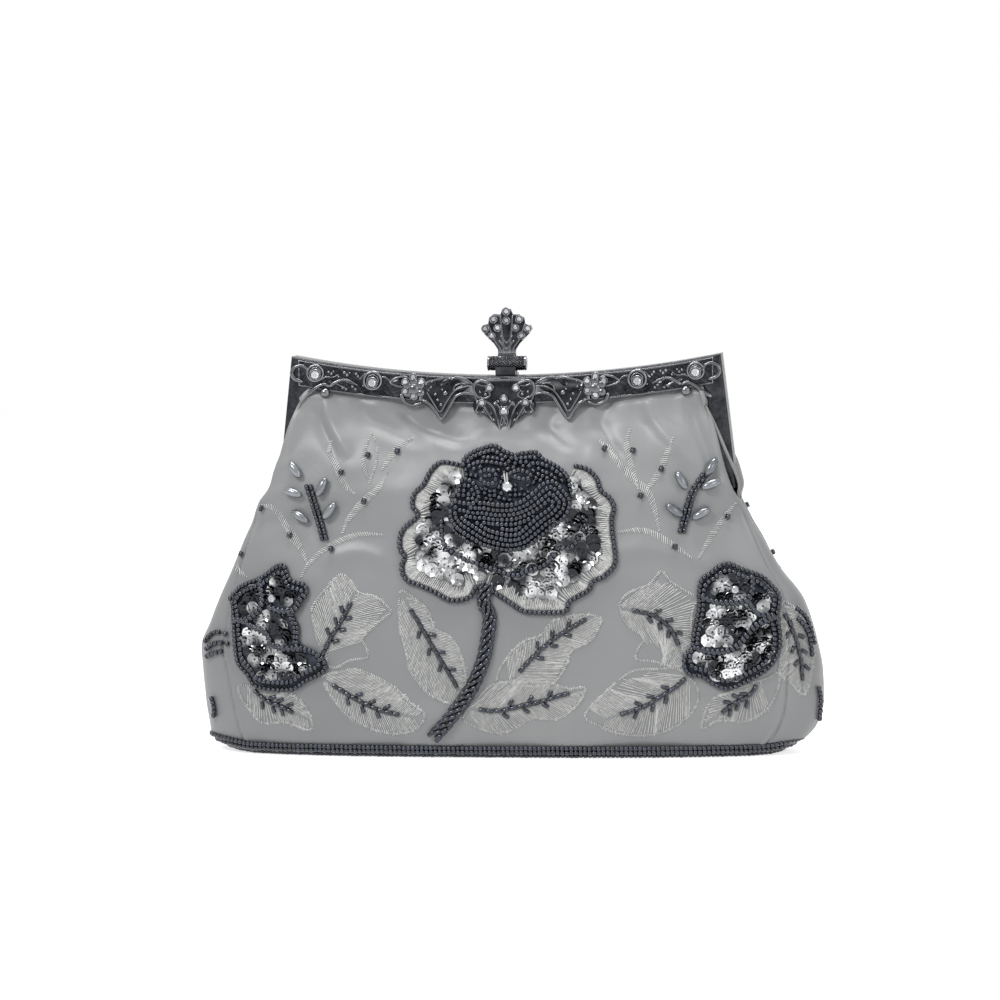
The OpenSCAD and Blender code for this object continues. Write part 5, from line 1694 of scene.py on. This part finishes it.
def leaf_form(base, tip, width, out):
    """Pointed leaf with a ridge along its middle and hollow cheeks, lying on the relief."""
    a, b = rail_points([base, tip], out)
    side = np.cross((b - a) / np.linalg.norm(b - a), [0, -1, 0])
    rows, columns = 12, 9
    s, u = np.meshgrid(np.linspace(0, 1, rows), np.linspace(-1, 1, columns), indexing="ij")
    half = width / 2 * mm * np.maximum(0.02, np.sin(math.pi * s ** 0.75)) ** 0.8
    ridge = 0.75 * (1 - np.abs(u)) + 0.35 * np.abs(u) ** 2 - 0.9 * np.abs(u) ** 8
    high = ridge * mm * np.sin(math.pi * s ** 0.7) ** 0.4
    top = a + s[..., None] * (b - a) + (u * half)[..., None] * side
    top[..., 1] -= high
    low = top.copy()
    low[..., 1] = a[1] + 0.5 * mm
    return np.concatenate([top.reshape(-1, 3), low.reshape(-1, 3)]), plate_faces(rows, columns)


def rounded_plate(points, front_y, back_y, edge):
    """Plate from front to back, with rings of its outline at shares of the way, each shrunk by a length."""
    centre = points.mean(axis=0)
    inward = (centre - points) / np.linalg.norm(points - centre, axis=1, keepdims=True)
    rings = []
    for share, shrink in edge:
        rings.append(points + inward * shrink)
        rings[-1][:, 1] = front_y + (back_y - front_y) * share
    return np.concatenate(rings), loft_faces(len(edge), len(points))


slab_edge = [(0, 1.6 * mm), (0, 0.4 * mm), (0.25, 0.16 * mm), (0.6, 0), (1, 0)]


def slab(points):
    return rounded_plate(points, points[:, 1], plate_back, slab_edge)


def mirrored(part):
    return part[0] * mirror, part[1]


def relief_band():
    """Engraved ground of the band."""
    x, share = np.meshgrid(np.linspace(-0.965, 0.965, 420) * frame_w / 2, np.linspace(0.07, 1.0, 26),
                           indexing="ij")
    z = arc_z(share * rail_face, x)
    grain = np.sin(x / mm * 2.6 + 2.2 * np.sin(share * 9)) * np.sin(share * 31 + 1.5 * np.sin(x / mm * 0.9))
    top = np.stack([x, -(face_out + 0.1 * grain) * mm, z], axis=-1)
    low = np.stack([x, np.full(x.shape, -8.1 * mm), z], axis=-1)
    return np.concatenate([top.reshape(-1, 3), low.reshape(-1, 3)]), plate_faces(*x.shape)


def islands(node):
    """Middle, radius and depth of each separate stone of a node."""
    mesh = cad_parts[node].data
    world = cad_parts[node].matrix_world
    at = np.array([world @ v.co for v in mesh.vertices])
    group = list(range(len(at)))

    def head(i):
        while group[i] != i:
            group[i] = group[group[i]]
            i = group[i]
        return i
    for edge in mesh.edges:
        a, b = head(edge.vertices[0]), head(edge.vertices[1])
        group[a] = b
    heads = np.array([head(i) for i in range(len(at))])
    keys = {}
    for i, p in enumerate(np.round(at, 6)):
        keys.setdefault(tuple(p), []).append(heads[i])
    for same in keys.values():
        for other in same[1:]:
            group[head(other)] = head(same[0])
    heads = np.array([head(i) for i in range(len(at))])
    found = []
    for h in np.unique(heads):
        low, high = at[heads == h].min(axis=0), at[heads == h].max(axis=0)
        found.append(((low + high) / 2, (high - low) / 2))
    return found


stone_swell = 1.28
stone_high = 2.1
collet_wide = 0.18 * mm
claw_r = 0.26 * mm


def cut_stones(node, parts, collets):
    """Faceted stones at the stones of a node, and a metal cup with four claws round each."""
    v, f = stone_shape(1.0, 1.0)
    cup, cup_faces = ring(np.zeros(3), 1.0, 0.17)
    for middle, half in islands(node):
        wide, tall = stone_swell * half[0], stone_swell * half[2]
        base = middle + np.array([0, half[1], 0])
        parts.append((base + np.stack([v[:, 0] * wide, -v[:, 2] * stone_high * half[1], v[:, 1] * tall],
                                      axis=1), f))
        cup_size = np.array([wide + collet_wide, 0.8 * (wide + tall), tall + collet_wide])
        collets.append((base + cup * cup_size - np.array([0, 0.25 * mm, 0]), cup_faces))
        for a in math.pi / 4 + circle(4):
            claw = np.array([1.02 * wide * math.cos(a), -1.3 * half[1], 1.02 * tall * math.sin(a)])
            collets.append(ball(base + claw, claw_r, 1.2))


def cast_object(name, parts, angle, body, nodes):
    obj = new_object(name, *join_parts(parts))
    fix_normals(obj)
    bevel_smooth(obj, angle)
    finish_piece(obj, cast_metal, body, nodes)


def stone_object(name, parts, body, nodes):
    obj = new_object(name, *join_parts(parts), smooth=False)
    fix_normals(obj)
    finish_piece(obj, crystal, body, nodes)


def make_relief():
    parts = [relief_band()]
    for share, r in ((0.1, 0.42), (0.98, 0.5)):
        x = np.linspace(-0.955, 0.955, 160) * frame_w / 2
        points = np.stack([x, np.full(160, -8.9 * mm), arc_z(share * rail_face, x)], axis=1)
        parts.append(tube(points, np.full(160, r * mm)))
    half_parts = []
    for points, r0, r1, out in scroll_lines:
        line = rail_points(points, out, 8)
        half_parts.append(tube(line, np.linspace(r0, r1, len(line)) * mm))
    half_parts += [ball(rail_points([(x, y)], out)[0], r * mm) for x, y, r, out in relief_balls]
    half_parts += [leaf_form(*leaf) for leaf in relief_leaves]
    half_parts += [ring(rail_points([(x, y)], out)[0], r * mm, thick * mm) for x, y, r, thick,
                   out in seat_rings]
    half_parts.append(slab(rail_points(drop_plate, 10.3)))
    left = rail_points(medallion_plate, 10.6)
    left[0, 0] = left[-1, 0] = 0
    parts.append(slab(np.concatenate([left, (left * mirror)[1:-1][::-1]])))
    centre = rail_points([flower_middle], 9.9)[0]
    for a in math.pi / 6 + circle(6):
        half_parts.append(ball(centre + np.array([math.cos(a), 0, math.sin(a)]) * 3.3 * mm, 1.9 * mm, 0.6))
    half_parts.append(ball(centre, 2.6 * mm, 0.6))
    parts += half_parts + [mirrored(p) for p in half_parts]
    stones, collets = [], []
    cut_stones("rail_stones", stones, collets)
    cast_object("front_rail_relief", parts + collets, 48, "bag", ["front_rail_ornament"])
    back_parts = [(v * half_turn, f) for v, f in parts]
    cast_object("rear_rail_relief", back_parts, 48, "rear_half", ["rear_rail_ornament"])
    stone_object("rail_cut_stones", stones, "bag", ["rail_stones"])


# Fan knob of the clasp, drawn on its left half in the same crop
fan_outline = [(1428, 428), (1428, 392), (1402, 352), (1345, 296), (1320, 262), (1332, 236), (1366, 228),
               (1372, 188),
               (1402, 166), (1442, 170), (1456, 134), (1486, 120)]
fan_ribs = [[(1452, 415), (1438, 375), (1408, 330), (1368, 232)],
            [(1470, 415), (1462, 340), (1452, 260), (1444, 176)],
            [(1436, 330), (1462, 362), (1486, 388)], [(1448, 300), (1468, 330), (1486, 350)]]


fan_edge = [(0.0, 1.1), (0.04, 0.7), (0.16, 0.25), (0.35, 0), (0.65, 0), (0.84, 0.25), (0.96, 0.7),
            (1.0, 1.1)]
rib_r = 0.42 * mm


def make_fan():
    low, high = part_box("fan_knob")
    left = rail_points(fan_outline, -low.y / mm)
    rise = np.array([0, 0, high.z - left[-1, 2]])
    left[:, 1] = low.y
    left[-1, 0] = 0
    outline = np.concatenate([left, (left * mirror)[:-1][::-1]]) + rise
    outline[:, 2] = np.maximum(outline[:, 2], low.z)
    parts = [rounded_plate(outline, low.y, high.y, [(share, shrink * mm) for share, shrink in fan_edge])]
    for line in fan_ribs:
        points = rail_points(line, -low.y / mm, 8) + rise
        points[:, 1] = low.y
        rib, faces = tube(points, np.full(len(points), rib_r), flat=0.7)
        back_rib = rib * np.array([1, -1, 1]) + np.array([0, low.y + high.y, 0])
        for form in (rib, rib * mirror, back_rib, back_rib * mirror):
            parts.append((form, faces))
    stones, collets = [], []
    cut_stones("fan_stones", stones, collets)
    cast_object("fan_knob_cast", parts + collets, 40, "clasp_lever", ["fan_knob"])
    stone_object("fan_cut_stones", stones, "clasp_lever", ["fan_stones"])


drum_half, drum_r = 8.25 * mm, 3.1 * mm
drum_y, drum_z = 1.5 * mm, 164.2 * mm
drum_sides = 120
# Rim of the drum: distance from its end in millimetres and share of its radius
drum_rim = [(0, 0.86), (0, 0.93), (0.2, 1), (0.9, 1), (1.0, 0.9), (1.15, 0.88)]
knurl_places = 150
knurl_t = 0.3 * mm
# Neck between drum and fan: share of its height, half width and half depth
neck_rings = [(0, 4.2, 1.7), (0.5, 3.9, 1.55), (1, 4.1, 1.6)]
neck_sides = 24


def rounded(value, power):
    return math.copysign(abs(value) ** power, value)


def make_drum():
    """Knurled sleeve between two plain rims, round the clasp's axis, and the neck that carries the fan."""
    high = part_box("clasp_drum")[1]
    rim = np.array(drum_rim)
    rim_x = drum_half - rim[:, 0] * mm
    inner = drum_half - 1.25 * mm
    xs = np.concatenate([-rim_x, np.linspace(-inner, inner, knurl_places), rim_x[::-1]])
    radii = np.concatenate([rim[:, 1], np.full(knurl_places, 0.9), rim[::-1, 1]]) * drum_r
    x, a = np.meshgrid(xs, circle(drum_sides), indexing="ij")
    knurl = np.abs(np.sin(9 * a + x / mm * 2.1)) * np.abs(np.sin(9 * a - x / mm * 2.1))
    r = radii[:, None] + (np.abs(x) < drum_half - 1.2 * mm) * knurl_t * knurl
    sleeve = np.stack([x, drum_y + r * np.cos(a), drum_z + r * np.sin(a)], axis=-1)
    neck = []
    foot = drum_z + drum_r * 0.85
    for share, wide, deep in neck_rings:
        z = foot + share * (high.z - foot + 0.3 * mm)
        neck += [(wide * mm * rounded(math.cos(t), 0.4), drum_y + deep * mm * rounded(math.sin(t), 0.5), z)
                 for t in circle(neck_sides)]
    parts = [(sleeve.reshape(-1, 3), loft_faces(len(xs), drum_sides)),
             (np.array(neck), loft_faces(len(neck_rings), neck_sides))]
    cast_object("clasp_drum_knurled", parts, 40, "clasp_lever", ["clasp_drum"])


make_relief()
make_fan()
make_drum()


# Beaded rope round the base
trim_rows = [(0.95, 0.6), (2.75, 1.5), (4.5, 0.9)]
trim_pitch = 1.9 * mm
trim_steps = 2400
corner_rise = 2.6 * mm


def make_trim():
    parts = []
    for high, out in trim_rows:
        turn = np.linspace(0, 2 * math.pi, trim_steps, endpoint=False)
        p = cloth_point(np.full(trim_steps, max(1.2, high) * mm), turn, 0, 1)
        rise = corner_rise * smoothstep(np.abs(p[:, 0]), 0.8 * body_w / 2, body_w / 2)
        closed = np.vstack([p, p[:1]])
        run = run_along(closed)
        count = int(run[-1] / trim_pitch)
        at = np.linspace(0, run[-1], count, endpoint=False)
        place = placed_at(at, run, closed)
        place[:, 2] = high * mm + np.interp(at, run, np.append(rise, rise[0])) + rng.uniform(-0.12, 0.12,
                                                                                             count) * mm
        way = np.roll(place, -1, axis=0) - np.roll(place, 1, axis=0)
        way[:, 2] = 0.25 * np.linalg.norm(way, axis=1)
        way = unit(way)
        normal = unit(np.cross(way, [0, 0, 1]))
        normal *= np.sign(np.sum(normal[:, :2] * place[:, :2], axis=1, keepdims=True))
        batch = Batch(seed)
        batch.add(place, normal, way, out * mm + 0.4 * mm, shake(count, 0.06))
        v, f = batch.mesh()
        v[:, 2] = np.maximum(v[:, 2], 0.0)
        parts.append((v, f))
    obj = new_object("base_bead_rope", *join_parts(parts))
    finish_piece(obj, beads, "bag", ["base_trim"])


rose_gems = make_rose()
heart_ground("heart_pad", heart_outline, crop_rose, 2.6 * mm)
side_gems = make_side_roses()
heart_ground("left_flower_pad", left_flower, crop_left, 0.9 * mm)
heart_ground("right_flower_pad", right_flower, crop_right, 0.9 * mm)
make_beadwork("flower_stones", [rose_gems, side_gems], crystal, smooth=False)
make_leaves_and_stem()
make_sprays()
make_sprigs()
make_trim()


# Stage and light
floor_half = 3.0
floor_glow = 0.72
world_low, world_high = 0.3, 1.0
light_aim = (0, 0, 0.08)
# Lights: name, place, size and power
light_table = [
    ("key_light", (-0.75, -1.3, 1.25), (0.55, 0.4), 16), ("fill_light", (1.1, -1.3, 0.6), (0.8, 0.8), 5),
    ("top_light", (0.0, -0.15, 1.5), (0.7, 0.35), 12), ("back_light", (0.3, 1.4, 1.0), (0.9, 0.6), 8),
]


def clear_sight(tree):
    """One for camera, glossy and transmission rays, otherwise zero."""
    rays = tree.nodes.new("ShaderNodeLightPath").outputs
    greater = {"operation": "MAXIMUM", 0: rays["Is Camera Ray"], 1: rays["Is Glossy Ray"]}
    either = add_node(tree, "ShaderNodeMath", 0, greater)
    greater = {"operation": "MAXIMUM", 0: either, 1: rays["Is Transmission Ray"]}
    return add_node(tree, "ShaderNodeMath", 0, greater)


def make_stage():
    corners = [(x * floor_half, y * floor_half, 0) for x, y in ((-1, -1), (1, -1), (1, 1), (-1, 1))]
    floor = new_object("floor", corners, [[0, 1, 2, 3]], False)
    material, tree, shader = new_material("floor_paper")
    glow = add_node(tree, "ShaderNodeMath", 0, {"operation": "MULTIPLY", 0: clear_sight(tree),
                                                1: floor_glow})
    set_node(shader, {"Base Color": (0.8, 0.8, 0.8, 1), "Roughness": 0.9, "Specular IOR Level": 0.0,
                      "Emission Color": (1, 1, 1, 1), "Emission Strength": glow})
    floor.data.materials.append(material)

    world = bpy.data.worlds.new("studio")
    bpy.context.scene.world = world
    world.use_nodes = True
    tree = world.node_tree
    mapped = {"To Min": world_low, "To Max": world_high, "Value": clear_sight(tree)}
    strength = add_node(tree, "ShaderNodeMapRange", "Result", mapped)
    set_node(tree.nodes["Background"], {"Color": (1, 1, 1, 1), "Strength": strength})


def make_lights():
    for name, place, size, power in light_table:
        data = bpy.data.lights.new(name, "AREA")
        data.shape = "RECTANGLE"
        data.size, data.size_y = size
        data.energy = power
        obj = bpy.data.objects.new(name, data)
        bpy.context.scene.collection.objects.link(obj)
        obj.location = place
        obj.rotation_mode = "QUATERNION"
        obj.rotation_quaternion = (Vector(light_aim) - Vector(place)).to_track_quat("-Z", "Y")


make_stage()
make_lights()
bpy.context.scene.view_settings.view_transform = "Standard"
